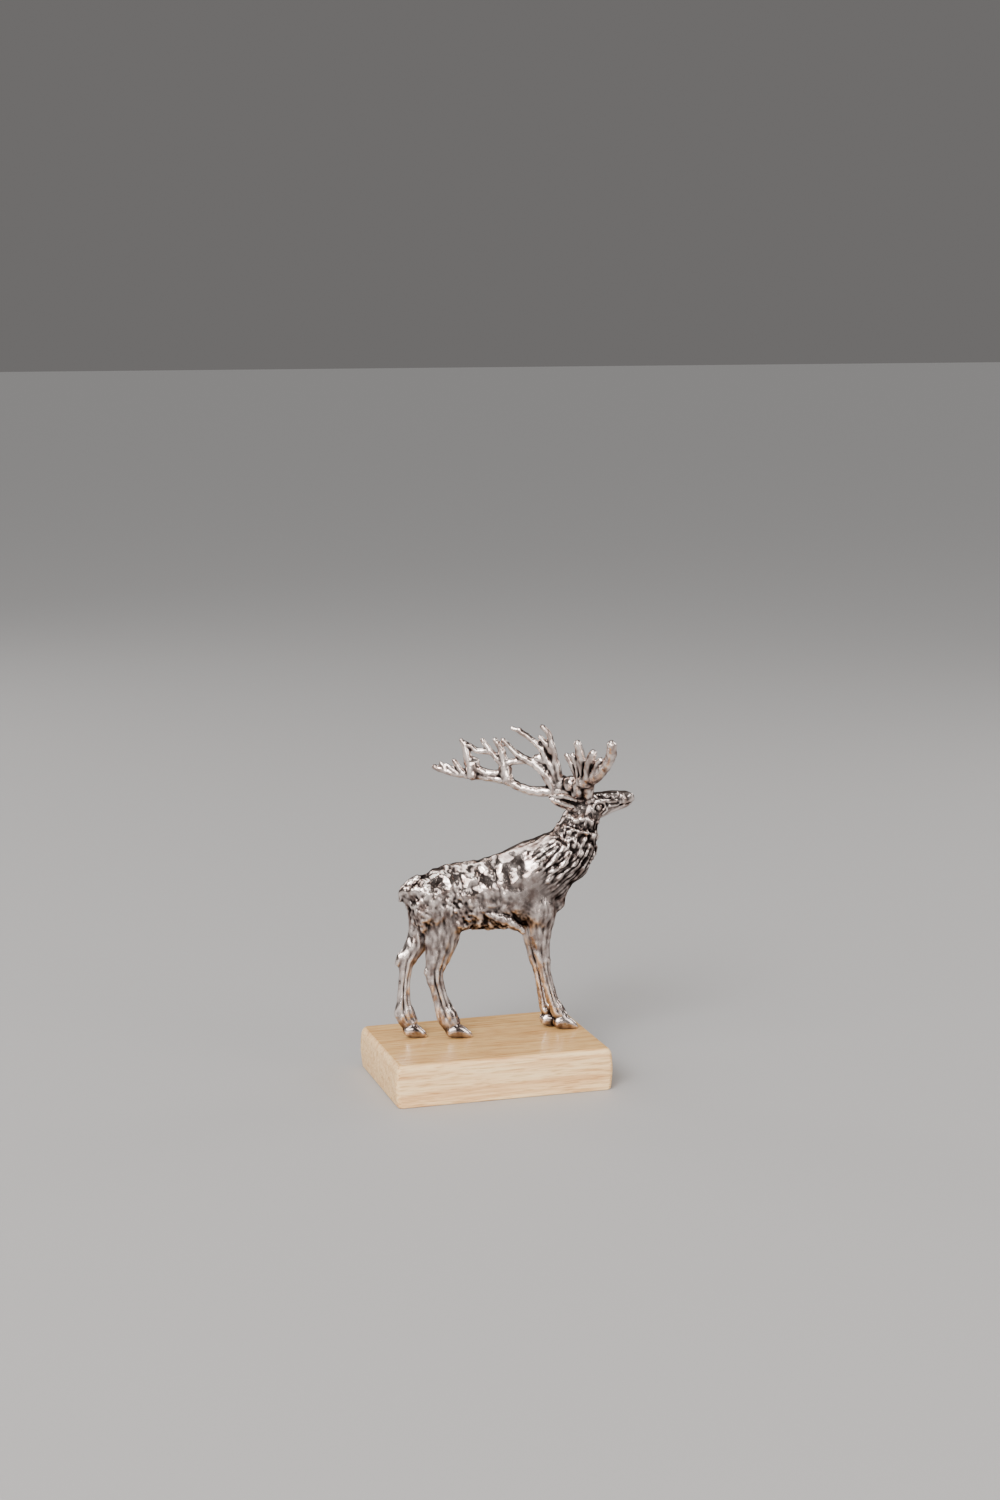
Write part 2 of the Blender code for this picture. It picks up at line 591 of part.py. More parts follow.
def make_wood_base(length, width, corner_steps=4, foot_steps=2, side_steps=6, top_steps=6):
    """Block as a stack of outlines that draw in at its foot and its top, and swell between them."""
    levels = []
    for step in range(foot_steps):
        angle = math.pi / 2 * step / foot_steps
        levels.append((BASE_FOOT_ROUNDING * (1 - math.sin(angle)),
                       BASE_FOOT_ROUNDING * (1 - math.cos(angle))))
    side = BASE_HEIGHT - BASE_FOOT_ROUNDING - BASE_TOP_ROUNDING
    levels.extend((0.0, BASE_FOOT_ROUNDING + side * step / side_steps) for step in range(side_steps))
    for step in range(top_steps + 1):
        angle = math.pi / 2 * step / top_steps
        levels.append((BASE_TOP_INSET * (1 - math.cos(angle)),
                       BASE_HEIGHT - BASE_TOP_ROUNDING * (1 - math.sin(angle))))
    points = []
    for inset, height in levels:
        radius = max(BASE_CORNER_RADIUS - 0.5 * inset, 0.2 * BASE_CORNER_RADIUS)
        belly = BASE_END_BELLY * math.sin(math.pi * height / BASE_HEIGHT)
        outline = rounded_outline(length / 2 - inset + belly, width / 2 - inset, radius, corner_steps)
        points.extend((x, y, height) for x, y in outline)
    count = 4 * (corner_steps + 1)
    faces = [tuple(reversed(range(count)))]
    for start in range(0, (len(levels) - 1) * count, count):
        for index in range(count):
            other = (index + 1) % count
            faces.append((start + index, start + other, start + count + other, start + count + index))
    faces.append(tuple((len(levels) - 1) * count + index for index in range(count)))
    piece = make_object("wood_base", points, faces)
    piece.data.materials.append(make_material("lacquered_wood", WOOD_COLOUR, 0.4, 0.0))


def main():
    for old in list(bpy.data.objects):
        bpy.data.objects.remove(old)
    hoof_reach = LEG_SPREAD + HOOF_HALF_WIDTH
    base_length = (TOE_X - HEEL_X) * UNIT + BASE_REAR_MARGIN + BASE_FRONT_MARGIN
    base_width = 2 * hoof_reach * UNIT + BASE_RIGHT_MARGIN + BASE_LEFT_MARGIN
    figure_x = -base_length / 2 + BASE_REAR_MARGIN - HEEL_X * UNIT
    figure_y = -base_width / 2 + BASE_RIGHT_MARGIN + hoof_reach * UNIT
    make_wood_base(base_length, base_width)
    make_reindeer((figure_x, figure_y, BASE_HEIGHT + HOOF_CLEARANCE))


main()
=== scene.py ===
# Looks of the cast metal reindeer figurine on a wooden block
#
# The casting is modelled here from the same named proportions as its solid, with a finer skin, hair
# on the neck, a coat and the carving of the head. The block has a finer rounding. The figure is drawn
# in units, from the plane of its hoof soles up: its proportions are shares of its own height.

import bpy
import numpy as np
from math import cos, degrees, pi, radians, sin, sqrt
from mathutils import Matrix, Vector, noise


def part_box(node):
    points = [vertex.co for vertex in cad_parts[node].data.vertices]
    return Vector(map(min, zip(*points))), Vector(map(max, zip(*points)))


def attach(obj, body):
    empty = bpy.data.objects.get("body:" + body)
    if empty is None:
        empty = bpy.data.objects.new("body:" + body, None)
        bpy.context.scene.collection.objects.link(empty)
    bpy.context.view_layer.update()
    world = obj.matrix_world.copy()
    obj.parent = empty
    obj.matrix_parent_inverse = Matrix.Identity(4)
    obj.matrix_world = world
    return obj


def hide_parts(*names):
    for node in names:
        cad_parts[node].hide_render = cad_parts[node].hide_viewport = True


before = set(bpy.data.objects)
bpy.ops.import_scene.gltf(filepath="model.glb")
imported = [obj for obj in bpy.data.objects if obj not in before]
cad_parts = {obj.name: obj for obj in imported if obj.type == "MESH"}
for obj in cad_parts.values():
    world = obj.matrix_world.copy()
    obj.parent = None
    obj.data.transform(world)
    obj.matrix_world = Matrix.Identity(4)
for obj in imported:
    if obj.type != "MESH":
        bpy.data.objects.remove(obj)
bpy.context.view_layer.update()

# Driving dimensions, in metres
FIGURE_HEIGHT = 0.117  # hoof soles to the highest antler tip
BASE_REAR_MARGIN = 0.0118  # wood behind the rearmost hoof
BASE_RIGHT_MARGIN = 0.0290  # wood beside the hooves, on the animal's right
BASE_TOP_ROUNDING = 0.0028  # how far down the rounding of the top edges reaches
BASE_TOP_INSET = 0.0015  # and how far in
BASE_FOOT_ROUNDING = 0.0006
BASE_CORNER_RADIUS = 0.0020
BASE_END_BELLY = 0.0008  # how far the block's ends swell at half its height

# How fine the casting's skin is, in units
SKIN_VOXEL = 0.43
SKIN_SMOOTHING = 1
MUSCLE_VOXEL = 0.80  # the muscles melt into each other at this coarser step
MUSCLE_SMOOTHING = 9
SOLE_LEVEL = -0.27  # the hooves reach down to the wood

# The camera, in metres and degrees
CAMERA_PLACE = (-0.2499, -0.8906, 0.2749)
CAMERA_HEADING = -16.09
CAMERA_PITCH = -9.14
CAMERA_ROLL = -0.42
CAMERA_LENS = 60.4  # millimetres, like the sensor's longer side
CAMERA_SENSOR = 36.0

# The figure's own proportions, in units
UNITS_TALL = 117.0
UNIT = FIGURE_HEIGHT / UNITS_TALL
HEEL_X = -29.2  # back end of the rearmost hoof
TOE_X = 37.2  # front end of the foremost hoof
HOOF_HALF_WIDTH = 2.8
LEG_SPREAD = 2.6  # each leg from the middle plane
HIP_FLARE = 0.9  # how much farther out the tops of the legs lie
HEAD_CENTRE = (42.0, 0.5, 85.2)
HEAD_TURN = radians(20)  # to the animal's left
HEAD_LIFT = radians(3)


# Shared modelling helpers

LEAST_SIZE = 0.05


class Clay:
    """Closed shells in units, which the remesh later joins into one skin."""

    def __init__(self):
        self.points = []
        self.faces = []

    def add(self, points, faces):
        start = len(self.points)
        self.points.extend(tuple(point) for point in points)
        self.faces.extend(tuple(start + index for index in face) for face in faces)


def unit_vector(vector):
    return vector / np.linalg.norm(vector)


def smooth_rows(rows, steps):
    """Catmull-Rom curve through rows of numbers."""
    rows = np.asarray(rows, float)
    padded = np.vstack([2 * rows[0] - rows[1], rows, 2 * rows[-1] - rows[-2]])
    result = []
    for index in range(1, len(padded) - 2):
        before, start, end, after = padded[index - 1:index + 3]
        for step in range(steps):
            t = step / steps
            result.append(0.5 * (2 * start + (end - before) * t
                                 + (2 * before - 5 * start + 4 * end - after) * t ** 2
                                 + (3 * start - before - 3 * end + after) * t ** 3))
    result.append(rows[-1])
    return np.array(result)


def path_frames(points, across=None):
    """Tangent, depth axis and width axis at each point of a path."""
    tangents = np.gradient(points, axis=0)
    tangents /= np.linalg.norm(tangents, axis=1)[:, None]
    if across is None:
        across = np.eye(3)[int(np.argmin(np.abs(points[-1] - points[0])))]
    across = np.asarray(across, float)
    widths = across - tangents * (tangents @ across)[:, None]
    widths /= np.linalg.norm(widths, axis=1)[:, None]
    return tangents, np.cross(widths, tangents), widths


def round_section(angle):
    return cos(angle), sin(angle)


def cupped_section(angle, rim=0.75, hollow=0.45):
    """A leaf's section, hollow on the side that its width axis points to."""
    deep, wide = cos(angle), sin(angle)
    if wide > 0.01:
        return rim * deep, -hollow * wide
    return deep, wide


def add_tube(clay, stations, across=None, sides=12, steps=4, section=round_section):
    """Tube with round ends through stations of x, y, z, half depth and half width."""
    rows = smooth_rows(stations, steps)
    sizes = np.maximum(rows[:, 3:], LEAST_SIZE)
    tangents, depths, widths = path_frames(rows[:, :3], across)
    last = len(rows) - 1
    rings = [(0, -60), (0, -35)] + [(index, 0) for index in range(last + 1)] + [(last, 35), (last, 60)]
    points = []
    for index, angle in rings:
        lean = radians(angle)
        centre = rows[index, :3] + tangents[index] * sizes[index].min() * sin(lean)
        for side in range(sides):
            deep, wide = section(2 * pi * side / sides)
            offset = depths[index] * sizes[index, 0] * deep + widths[index] * sizes[index, 1] * wide
            points.append(centre + offset * cos(lean))
    points.append(rows[0, :3] - tangents[0] * sizes[0].min())
    points.append(rows[-1, :3] + tangents[-1] * sizes[-1].min())
    add_skin(clay, points, len(rings), sides, len(points) - 2, len(points) - 1)


def add_skin(clay, points, ring_count, sides, first_pole, last_pole):
    """Faces between rings of points, closed at both poles."""
    faces = []
    end = (ring_count - 1) * sides
    for side in range(sides):
        other = (side + 1) % sides
        faces.append((first_pole, other, side))
        for start in range(0, end, sides):
            faces.append((start + side, start + other, start + sides + other, start + sides + side))
        faces.append((last_pole, end + side, end + other))
    clay.add(points, faces)


def add_ellipsoid(clay, centre, radii, pitch=0.0, yaw=0.0, sides=14, rows=8):
    """Ellipsoid whose first axis is raised by pitch and turned by yaw, in degrees."""
    rise = radians(pitch)
    turn = radians(yaw)
    ahead = np.array((cos(rise) * cos(turn), cos(rise) * sin(turn), sin(rise)))
    left = np.array((-sin(turn), cos(turn), 0.0))
    up = np.cross(ahead, left)
    centre = np.asarray(centre, float)
    points = []
    for row in range(1, rows):
        lean = pi * row / rows
        for side in range(sides):
            angle = 2 * pi * side / sides
            points.append(centre - ahead * radii[0] * cos(lean)
                          + left * radii[1] * sin(lean) * cos(angle)
                          + up * radii[2] * sin(lean) * sin(angle))
    points.append(centre - ahead * radii[0])
    points.append(centre + ahead * radii[0])
    add_skin(clay, points, rows - 1, sides, len(points) - 2, len(points) - 1)


# Body: stations of x, y, z, half depth and half width

TRUNK = [
    (-27.4, 0.0, 56.3, 4.6, 3.8), (-24.8, 0.0, 55.4, 7.4, 5.8), (-19.5, 0.0, 54.3, 10.6, 7.2),
    (-13.0, 0.0, 54.2, 12.6, 7.6), (-6.0, 0.0, 54.0, 13.4, 7.6), (1.5, 0.0, 53.8, 14.0, 8.1),
    (9.0, 0.0, 54.4, 14.6, 8.3), (16.0, 0.0, 56.6, 15.3, 8.2), (22.0, 0.0, 58.4, 14.6, 7.7),
    (27.0, 0.0, 58.0, 11.6, 6.6), (30.4, 0.0, 56.6, 8.0, 5.2),
]
NECK = [
    (17.5, 0.0, 57.0, 14.6, 7.8), (23.6, 0.0, 60.6, 14.4, 8.0), (29.8, 0.0, 64.9, 11.8, 7.8),
    (35.1, 0.0, 68.9, 10.6, 7.4), (37.6, 0.0, 74.0, 8.7, 6.7), (39.1, 0.1, 78.1, 7.4, 5.9),
    (40.5, 0.2, 82.6, 6.4, 5.1), (41.6, 0.4, 86.0, 5.2, 4.5),
]
TAIL = [
    (-24.2, 0.0, 62.0, 1.2, 1.8), (-28.0, 0.0, 59.6, 1.4, 2.1), (-30.2, 0.0, 56.4, 1.4, 2.0),
    (-31.3, 0.0, 53.5, 1.0, 1.4),
]
MIDLINE = (0.0, 1.0, 0.0)  # the width axis of what lies along the middle plane
SIDE_MUSCLES = [  # place, radii and pitch, of each side's haunch, buttock, flank, shoulder, arm
    ((-18.8, 3.4, 52.4), (11.0, 4.8, 8.0), -58),
    ((-23.6, 2.9, 49.4), (8.4, 3.6, 4.6), -80),
    ((-9.0, 3.6, 46.0), (8.0, 3.6, 5.0), 24),
    ((19.0, 4.4, 60.0), (12.0, 4.3, 6.4), 60),
    ((21.6, 4.0, 48.6), (9.0, 4.0, 6.4), -78),
]


def add_torso(clay):
    add_tube(clay, TRUNK, MIDLINE, sides=20)
    add_tube(clay, NECK, MIDLINE, sides=20)
    # Withers, and breast down to the fore legs
    add_ellipsoid(clay, (18.0, 0.0, 68.8), (8.5, 4.2, 4.2), pitch=14)
    add_ellipsoid(clay, (29.0, 0.0, 50.6), (8.6, 5.4, 5.0), pitch=58)
    for side in (-1, 1):
        for (x, y, z), radii, pitch in SIDE_MUSCLES:
            add_ellipsoid(clay, (x, side * y, z), radii, pitch)


# Legs: stations of x, z, half depth and half width

RIGHT_HIND = [
    (-18.4, 53.0, 7.6, 3.6), (-15.4, 45.5, 7.8, 3.5), (-16.0, 38.0, 6.8, 3.1), (-17.2, 31.6, 5.0, 2.7),
    (-18.6, 26.6, 3.9, 2.3), (-18.4, 22.6, 3.3, 2.1), (-17.0, 17.4, 2.9, 1.9), (-15.5, 12.2, 3.3, 2.0),
    (-13.9, 8.2, 4.0, 2.4), (-12.0, 4.6, 3.6, 2.4),
]
LEFT_HIND = [
    (-20.0, 53.0, 7.4, 3.4), (-20.6, 45.0, 6.6, 3.3), (-22.8, 38.4, 5.0, 2.9), (-25.8, 33.4, 3.9, 2.4),
    (-28.1, 29.4, 3.2, 2.1), (-28.7, 25.0, 2.4, 1.8), (-29.4, 20.0, 2.3, 1.7), (-29.5, 14.2, 2.7, 1.8),
    (-29.3, 9.6, 3.9, 2.3), (-27.2, 5.2, 3.4, 2.3),
]
RIGHT_FORE = [
    (22.6, 50.0, 7.6, 3.4), (23.0, 44.4, 6.2, 3.1), (22.9, 38.6, 4.7, 2.7), (23.3, 32.4, 3.6, 2.4),
    (23.9, 27.2, 2.9, 2.3), (24.9, 22.4, 2.3, 1.8), (26.4, 16.4, 2.1, 1.7), (28.0, 11.0, 2.3, 1.9),
    (29.6, 7.4, 2.8, 2.3), (31.4, 4.4, 2.7, 2.3),
]
LEFT_FORE = [
    (20.6, 50.0, 6.0, 3.2), (20.6, 43.5, 4.9, 2.9), (21.0, 38.0, 3.9, 2.5), (21.9, 32.0, 3.3, 2.2),
    (22.9, 26.6, 2.8, 2.2), (24.0, 21.6, 2.2, 1.7), (24.9, 16.0, 2.1, 1.7), (25.8, 11.0, 2.3, 1.9),
    (26.8, 7.4, 2.7, 2.3), (28.2, 4.4, 2.6, 2.3),
]
RIGHT_HOCK = (-21.0, 27.4)
LEFT_HOCK = (-30.8, 30.8)
KNEE_STATION = 4
HOOVES = [  # heel x, toe x, side
    (-14.2, -4.6, -1),
    (HEEL_X, -21.2, 1),
    (28.6, TOE_X, -1),
    (25.0, 33.4, 1),
]
CLAW_SPREAD = 1.3  # each claw from the middle of its hoof
CLAW_SPLAY = 0.4  # how much farther out its toe lies
DEWCLAW = (0.9, 1.5, 6.2)  # ahead of the heel, from the middle of the hoof, and up
CLAW = [  # share of the length, z, half height, half width
    (0.08, 2.4, 2.0, 1.2), (0.30, 2.6, 2.7, 1.5), (0.58, 2.0, 2.4, 1.5), (0.82, 1.1, 1.6, 1.2),
    (0.95, 0.5, 0.8, 0.7),
]
LEGS = ((RIGHT_HIND, -1), (LEFT_HIND, 1), (RIGHT_FORE, -1), (LEFT_FORE, 1))


def leg_rows(stations, side):
    rows = []
    for index, (x, z, depth, width) in enumerate(stations):
        flare = HIP_FLARE * max(0.0, 1 - index / 3)
        rows.append((x, side * (LEG_SPREAD + flare), z, depth, width))
    return rows


def add_legs(clay):
    for stations, side in LEGS:
        add_tube(clay, leg_rows(stations, side), MIDLINE, sides=14)
    for (x, z), side in ((RIGHT_HOCK, -1), (LEFT_HOCK, 1)):
        add_ellipsoid(clay, (x, side * LEG_SPREAD, z), (3.2, 1.5, 1.5), pitch=66)
    for stations, side in ((RIGHT_FORE, -1), (LEFT_FORE, 1)):
        x, z = stations[KNEE_STATION][:2]
        add_ellipsoid(clay, (x + 0.5, side * LEG_SPREAD, z), (3.2, 2.4, 2.7), pitch=90)


def add_hoof(clay, heel_x, toe_x, side):
    """Two claws side by side, and two dewclaws above the heel."""
    length = toe_x - heel_x
    for part in (-1, 1):
        middle = side * LEG_SPREAD
        claw = [(heel_x + share * length, middle + part * (CLAW_SPREAD + CLAW_SPLAY * share), z, high, wide)
                for share, z, high, wide in CLAW]
        add_tube(clay, claw, MIDLINE)
        ahead, out, up = DEWCLAW
        dewclaw = (heel_x + ahead, middle + part * out, up)
        add_ellipsoid(clay, dewclaw, (1.6, 0.9, 1.0), pitch=-60, sides=10, rows=6)


# Head: places are measured from its centre, ahead, to its left and up

SIDEWAYS = (-sin(HEAD_TURN), cos(HEAD_TURN), 0.0)


def head_axes():
    forward = np.array((cos(HEAD_LIFT) * cos(HEAD_TURN),
                        cos(HEAD_LIFT) * sin(HEAD_TURN), sin(HEAD_LIFT)))
    sideways = np.array(SIDEWAYS)
    return forward, sideways, np.cross(forward, sideways)


def head_point(ahead, left, up):
    return np.array(HEAD_CENTRE) + np.array((ahead, left, up)) @ head_axes()


def head_rows(rows):
    return [(*head_point(ahead, 0.0, up), depth, width) for ahead, up, depth, width in rows]


SKULL = [  # ahead, up, half depth, half width
    (-4.6, 0.0, 3.6, 3.2), (-1.0, 0.1, 4.9, 4.3), (3.5, -0.3, 4.7, 4.1), (8.0, -0.1, 4.5, 3.2),
    (12.5, 0.1, 4.1, 2.6), (16.5, -0.2, 3.6, 2.3), (19.8, -0.4, 3.3, 2.5), (21.6, -0.5, 2.4, 2.1),
]
JAW = [
    (0.0, -3.6, 2.4, 2.6), (6.5, -3.9, 1.9, 2.0), (12.0, -3.3, 1.4, 1.6), (19.0, -2.7, 1.1, 1.6),
]
# The right ear is laid back along the neck, and the left one is turned outward
RIGHT_EAR = [  # x, y, z, half breadth, half thickness
    (40.4, -2.8, 85.4, 1.7, 1.6), (35.8, -5.0, 87.2, 2.6, 2.2), (30.8, -6.6, 89.2, 3.0, 2.4),
    (27.2, -7.6, 90.4, 1.9, 1.7), (25.6, -8.0, 91.0, 0.9, 1.2),
]
LEFT_EAR = [
    (40.0, 2.0, 85.6, 1.7, 1.6), (38.8, 5.4, 87.0, 2.6, 2.2), (37.4, 9.0, 88.6, 2.9, 2.3),
    (36.4, 11.8, 89.6, 1.9, 1.7), (36.0, 13.2, 90.0, 0.9, 1.2),
]
RIGHT_EAR_OPENING = (0.3, -1.0, -0.15)
LEFT_EAR_OPENING = (1.0, 0.2, -0.2)
EARS = ((RIGHT_EAR, RIGHT_EAR_OPENING), (LEFT_EAR, LEFT_EAR_OPENING))
HEAD_FORMS = [  # place, radii, pitch and inward turn
    ((3.6, 3.2, 2.0), (3.0, 1.5, 1.1), -6, 0),  # brow
    ((3.4, 3.5, -0.4), (1.9, 1.2, 1.5), 0, 0),  # eye
    ((1.8, 2.6, -3.2), (3.6, 2.1, 2.8), -12, 0),  # cheek
    ((9.6, 2.2, 0.9), (5.6, 1.0, 0.9), -2, 8),  # cheekbone
    ((20.8, 1.5, 0.9), (1.6, 1.1, 1.3), 0, 0),  # nostril
    ((18.6, 1.4, -1.0), (1.7, 1.4, 2.3), 20, 0),  # upper lip
]


def add_head(clay):
    turn = degrees(HEAD_TURN)
    for rows, sides in ((SKULL, 16), (JAW, 12)):
        add_tube(clay, head_rows(rows), SIDEWAYS, sides=sides)
    for side in (-1, 1):
        for (ahead, left, up), radii, pitch, toe_in in HEAD_FORMS:
            add_ellipsoid(clay, head_point(ahead, side * left, up), radii, pitch, turn - side * toe_in)
    # Brow between the antlers
    add_ellipsoid(clay, head_point(0.6, 0.0, 3.6), (4.6, 4.2, 2.2), yaw=turn)
    for rows, opening in EARS:
        add_tube(clay, rows, opening, sides=16, section=cupped_section)


# Antlers: each branch has its radius at the root and at the tip, and the places it grows through

LEFT_ANTLER = {
    "beam": (2.5, 1.1, [
        (38.1, 1.6, 91.6), (33.6, 3.8, 91.4), (29.4, 5.8, 90.8), (24.8, 8.1, 90.7), (20.1, 10.3, 91.8),
        (13.6, 13.4, 94.7), (4.6, 17.8, 96.0), (-3.5, 21.7, 96.8), (-10.6, 25.1, 99.3)]),
    "first_tine": (1.6, 1.0, [
        (33.8, 3.0, 90.6), (32.2, 3.6, 99.1), (30.8, 3.6, 104.8), (29.0, 3.8, 112.4), (26.6, 4.6, 115.9)]),
    "first_snag": (1.4, 0.9, [(29.6, 4.2, 106.4), (27.6, 4.8, 109.4), (25.8, 5.4, 112.0)]),
    "second_tine": (1.7, 1.0, [
        (32.2, 4.2, 94.0), (29.2, 4.9, 101.0), (25.8, 5.8, 108.0), (18.4, 8.8, 114.6)]),
    "second_snag": (1.0, 0.8, [(21.6, 7.5, 112.4), (16.1, 10.0, 115.2)]),
    "third_tine": (2.3, 0.95, [
        (31.2, 5.0, 92.0), (27.4, 6.0, 98.4), (22.9, 7.8, 102.1), (18.0, 10.0, 105.2), (13.2, 12.1, 110.4)]),
    "fourth_tine": (2.5, 1.0, [
        (14.9, 12.7, 95.0), (13.8, 12.9, 99.8), (12.8, 12.9, 105.8), (10.4, 13.4, 110.5)]),
    "cross_bar": (1.3, 1.3, [(14.0, 12.6, 101.6), (18.1, 10.6, 102.3), (23.0, 8.2, 102.4)]),
    "fifth_tine": (1.8, 0.95, [(13.7, 12.9, 101.2), (11.0, 14.1, 103.4), (5.9, 15.9, 110.2)]),
    "palm_rim": (1.5, 1.7, [(12.0, 14.2, 97.4), (8.7, 15.8, 97.2), (5.0, 17.5, 98.6), (2.4, 18.8, 101.4)]),
    "sixth_tine": (2.4, 0.95, [
        (2.7, 18.7, 96.6), (1.5, 18.7, 101.4), (0.2, 18.9, 106.4), (-1.3, 19.3, 110.0)]),
    "upper_bar": (1.0, 1.3, [
        (-0.9, 19.3, 109.4), (1.8, 18.2, 107.8), (4.6, 17.1, 106.0), (8.2, 15.3, 106.0)]),
    "seventh_tine": (1.5, 0.85, [(0.2, 19.9, 96.3), (-1.9, 20.7, 99.0), (-3.8, 21.5, 102.0)]),
    "eighth_tine": (1.3, 0.8, [(-2.2, 21.1, 96.9), (-4.5, 22.0, 98.7), (-6.3, 22.8, 100.3)]),
    "ninth_tine": (1.2, 0.8, [(-5.7, 22.8, 97.4), (-7.2, 23.3, 99.2), (-8.4, 23.8, 101.0)]),
}
RIGHT_ANTLER = {
    "beam": (2.7, 1.8, [
        (42.0, -1.2, 89.0), (41.4, -4.0, 93.2), (41.1, -7.5, 96.2), (41.7, -12.0, 98.3),
        (42.5, -17.5, 101.4), (43.3, -22.5, 105.4), (43.6, -26.0, 109.0), (42.7, -28.8, 113.2)]),
    "root": (2.6, 2.0, [(38.6, -1.5, 90.6), (38.0, -4.0, 94.6), (38.6, -7.0, 97.0)]),
    "first_tine": (1.9, 1.1, [(38.4, -4.5, 95.4), (36.4, -4.3, 100.6), (33.6, -3.2, 105.6)]),
    "second_tine": (2.3, 1.5, [(39.3, -8.0, 96.6), (38.0, -9.0, 103.1), (35.4, -11.0, 111.2)]),
    "second_snag": (1.8, 1.2, [(37.9, -6.4, 98.4), (36.6, -7.0, 102.6), (34.8, -7.2, 106.4)]),
    "third_tine": (2.3, 1.7, [(39.8, -10.6, 98.0), (39.5, -13.0, 104.1), (40.1, -15.0, 107.9)]),
    "third_snag": (2.0, 1.3, [(40.9, -13.0, 98.6), (41.4, -16.5, 103.2), (41.6, -19.0, 106.0)]),
}
LEFT_PALM_TURN = -25.7  # degrees, the way that the left antler's flat side lies
LEFT_PALM = [  # place, and half length, thickness and height of a web between branches
    ((14.0, 13.0, 98.0), (2.8, 1.4, 4.8)),
    ((2.4, 18.5, 101.2), (3.2, 1.4, 2.8)),
    ((36.4, -0.4, 94.4), (3.6, 2.6, 3.2)),
    ((30.2, 5.4, 95.4), (2.2, 1.5, 3.6)),
    ((26.4, 6.2, 103.2), (3.8, 1.3, 2.4)),
    ((34.0, 3.2, 93.8), (3.4, 2.2, 3.4)),
    ((30.0, 4.6, 101.6), (2.0, 1.3, 5.8)),
]
RIGHT_PALM = ((39.2, -6.6, 96.8), (3.2, 5.0, 3.4))


def branch_rows(root_radius, tip_radius, places):
    rows = []
    for index, place in enumerate(places):
        radius = root_radius + (tip_radius - root_radius) * index / (len(places) - 1)
        rows.append((*place, radius, radius))
    return rows


def add_antlers(clay):
    for antler in (LEFT_ANTLER, RIGHT_ANTLER):
        for branch in antler.values():
            add_tube(clay, branch_rows(*branch))
    for place, radii in LEFT_PALM:
        add_ellipsoid(clay, place, radii, yaw=LEFT_PALM_TURN)
    add_ellipsoid(clay, *RIGHT_PALM)


# Mane: rows of locks that lie along the neck, from under the jaw down to the shoulder

MANE_ROWS = 8
MANE_START = 0.72  # share of the neck's length at the top row's roots
MANE_END = 0.20
LOCKS_IN_ROW = 15
BARE_ROW = 5  # from this row down, the top of the neck has no locks
LOCK_LENGTH = 7.2
LOCK_WIDTH = 1.55
LOCK_THICKNESS = 1.05
LOCK_SWAY = 0.9
SWAY_STEPS = (2.3, 1.7)  # of the sway's angle, from lock to lock and from row to row
SWAY_TURNS = 0.8  # half turns of the sway along a lock
LOCK_START = 0.2  # share of a lock that lies above the place of its row
BARE_TOP = -0.5  # cosine of the angle round the neck at which the bare strip begins
LOCK_SINK = 0.75  # the fine hair hides the lower part of each lock
LOCK = [  # share of the length, height over the skin, width and thickness shares
    (0.0, -0.8, 0.7, 0.6), (0.3, -0.1, 1.0, 1.0), (0.65, 0.1, 0.9, 1.0), (1.0, 0.0, 0.3, 0.4),
]


def skin_of_neck(share, angle, curve, frames):
    """Point on the neck's skin, its outward direction and the neck's own direction there."""
    place = share * (len(curve) - 1)
    index = min(int(place), len(curve) - 2)
    mix = place - index
    row = curve[index] * (1 - mix) + curve[index + 1] * mix
    tangent, depth, width = (axis[index] * (1 - mix) + axis[index + 1] * mix for axis in frames)
    point = row[:3] + depth * row[3] * cos(angle) + width * row[4] * sin(angle)
    outward = unit_vector(depth * cos(angle) / row[3] + width * sin(angle) / row[4])
    return point, outward, unit_vector(tangent)


def add_mane(clay):
    curve = smooth_rows(NECK, 6)
    frames = path_frames(curve[:, :3], MIDLINE)
    for row in range(MANE_ROWS):
        share = MANE_START + (MANE_END - MANE_START) * row / (MANE_ROWS - 1)
        for index in range(LOCKS_IN_ROW):
            angle = 2 * pi * (index + 0.5 * (row % 2)) / LOCKS_IN_ROW
            if row >= BARE_ROW and cos(angle) < BARE_TOP:
                continue
            point, outward, along = skin_of_neck(share, angle, curve, frames)
            across = np.cross(outward, along)
            sway = LOCK_SWAY * sin(SWAY_STEPS[0] * index + SWAY_STEPS[1] * row)
            stations = []
            for reach, rise, wide, thick in LOCK:
                centre = (point - along * LOCK_LENGTH * (reach - LOCK_START)
                          + outward * (rise - LOCK_SINK)
                          + across * sway * sin(pi * reach * SWAY_TURNS))
                stations.append((*centre, LOCK_THICKNESS * thick, LOCK_WIDTH * wide))
            add_tube(clay, stations, across, sides=8, steps=2)


# Carving of the head, on both of its sides

EYE_CENTRE = (3.4, -0.4)  # ahead and up
EYE_HALF_SIZE = (3.4, 2.1)
EYE_RADII = (1.5, 0.9, 1.1)
EYE_SINK = 0.1  # into the skull's side
LID_RADIUS = 0.52
LID_STEPS = 12
LID_RISE = 0.35  # out of the skull's side
LID_POINTEDNESS = 0.3
RIDGE_RISE = 0.15
FACE_RIDGES = [  # radius, and places ahead and up
    (0.42, [(3.1, 3.0), (6.2, 1.9), (10.2, 0.6), (13.2, 0.3)]),
    (0.50, [(4.6, 4.0), (8.0, 3.7), (11.2, 3.2), (8.6, 2.7)]),
    (0.45, [(11.4, 3.1), (14.6, 2.5), (11.6, 1.9)]),
    (0.48, [(8.0, -1.6), (8.3, -2.9), (5.9, -3.9)]),
    (0.65, [(16.4, 1.9), (17.2, 0.0), (17.4, -2.1)]),
    (0.40, [(9.4, -0.9), (12.0, -1.2), (14.6, -1.5)]),
]


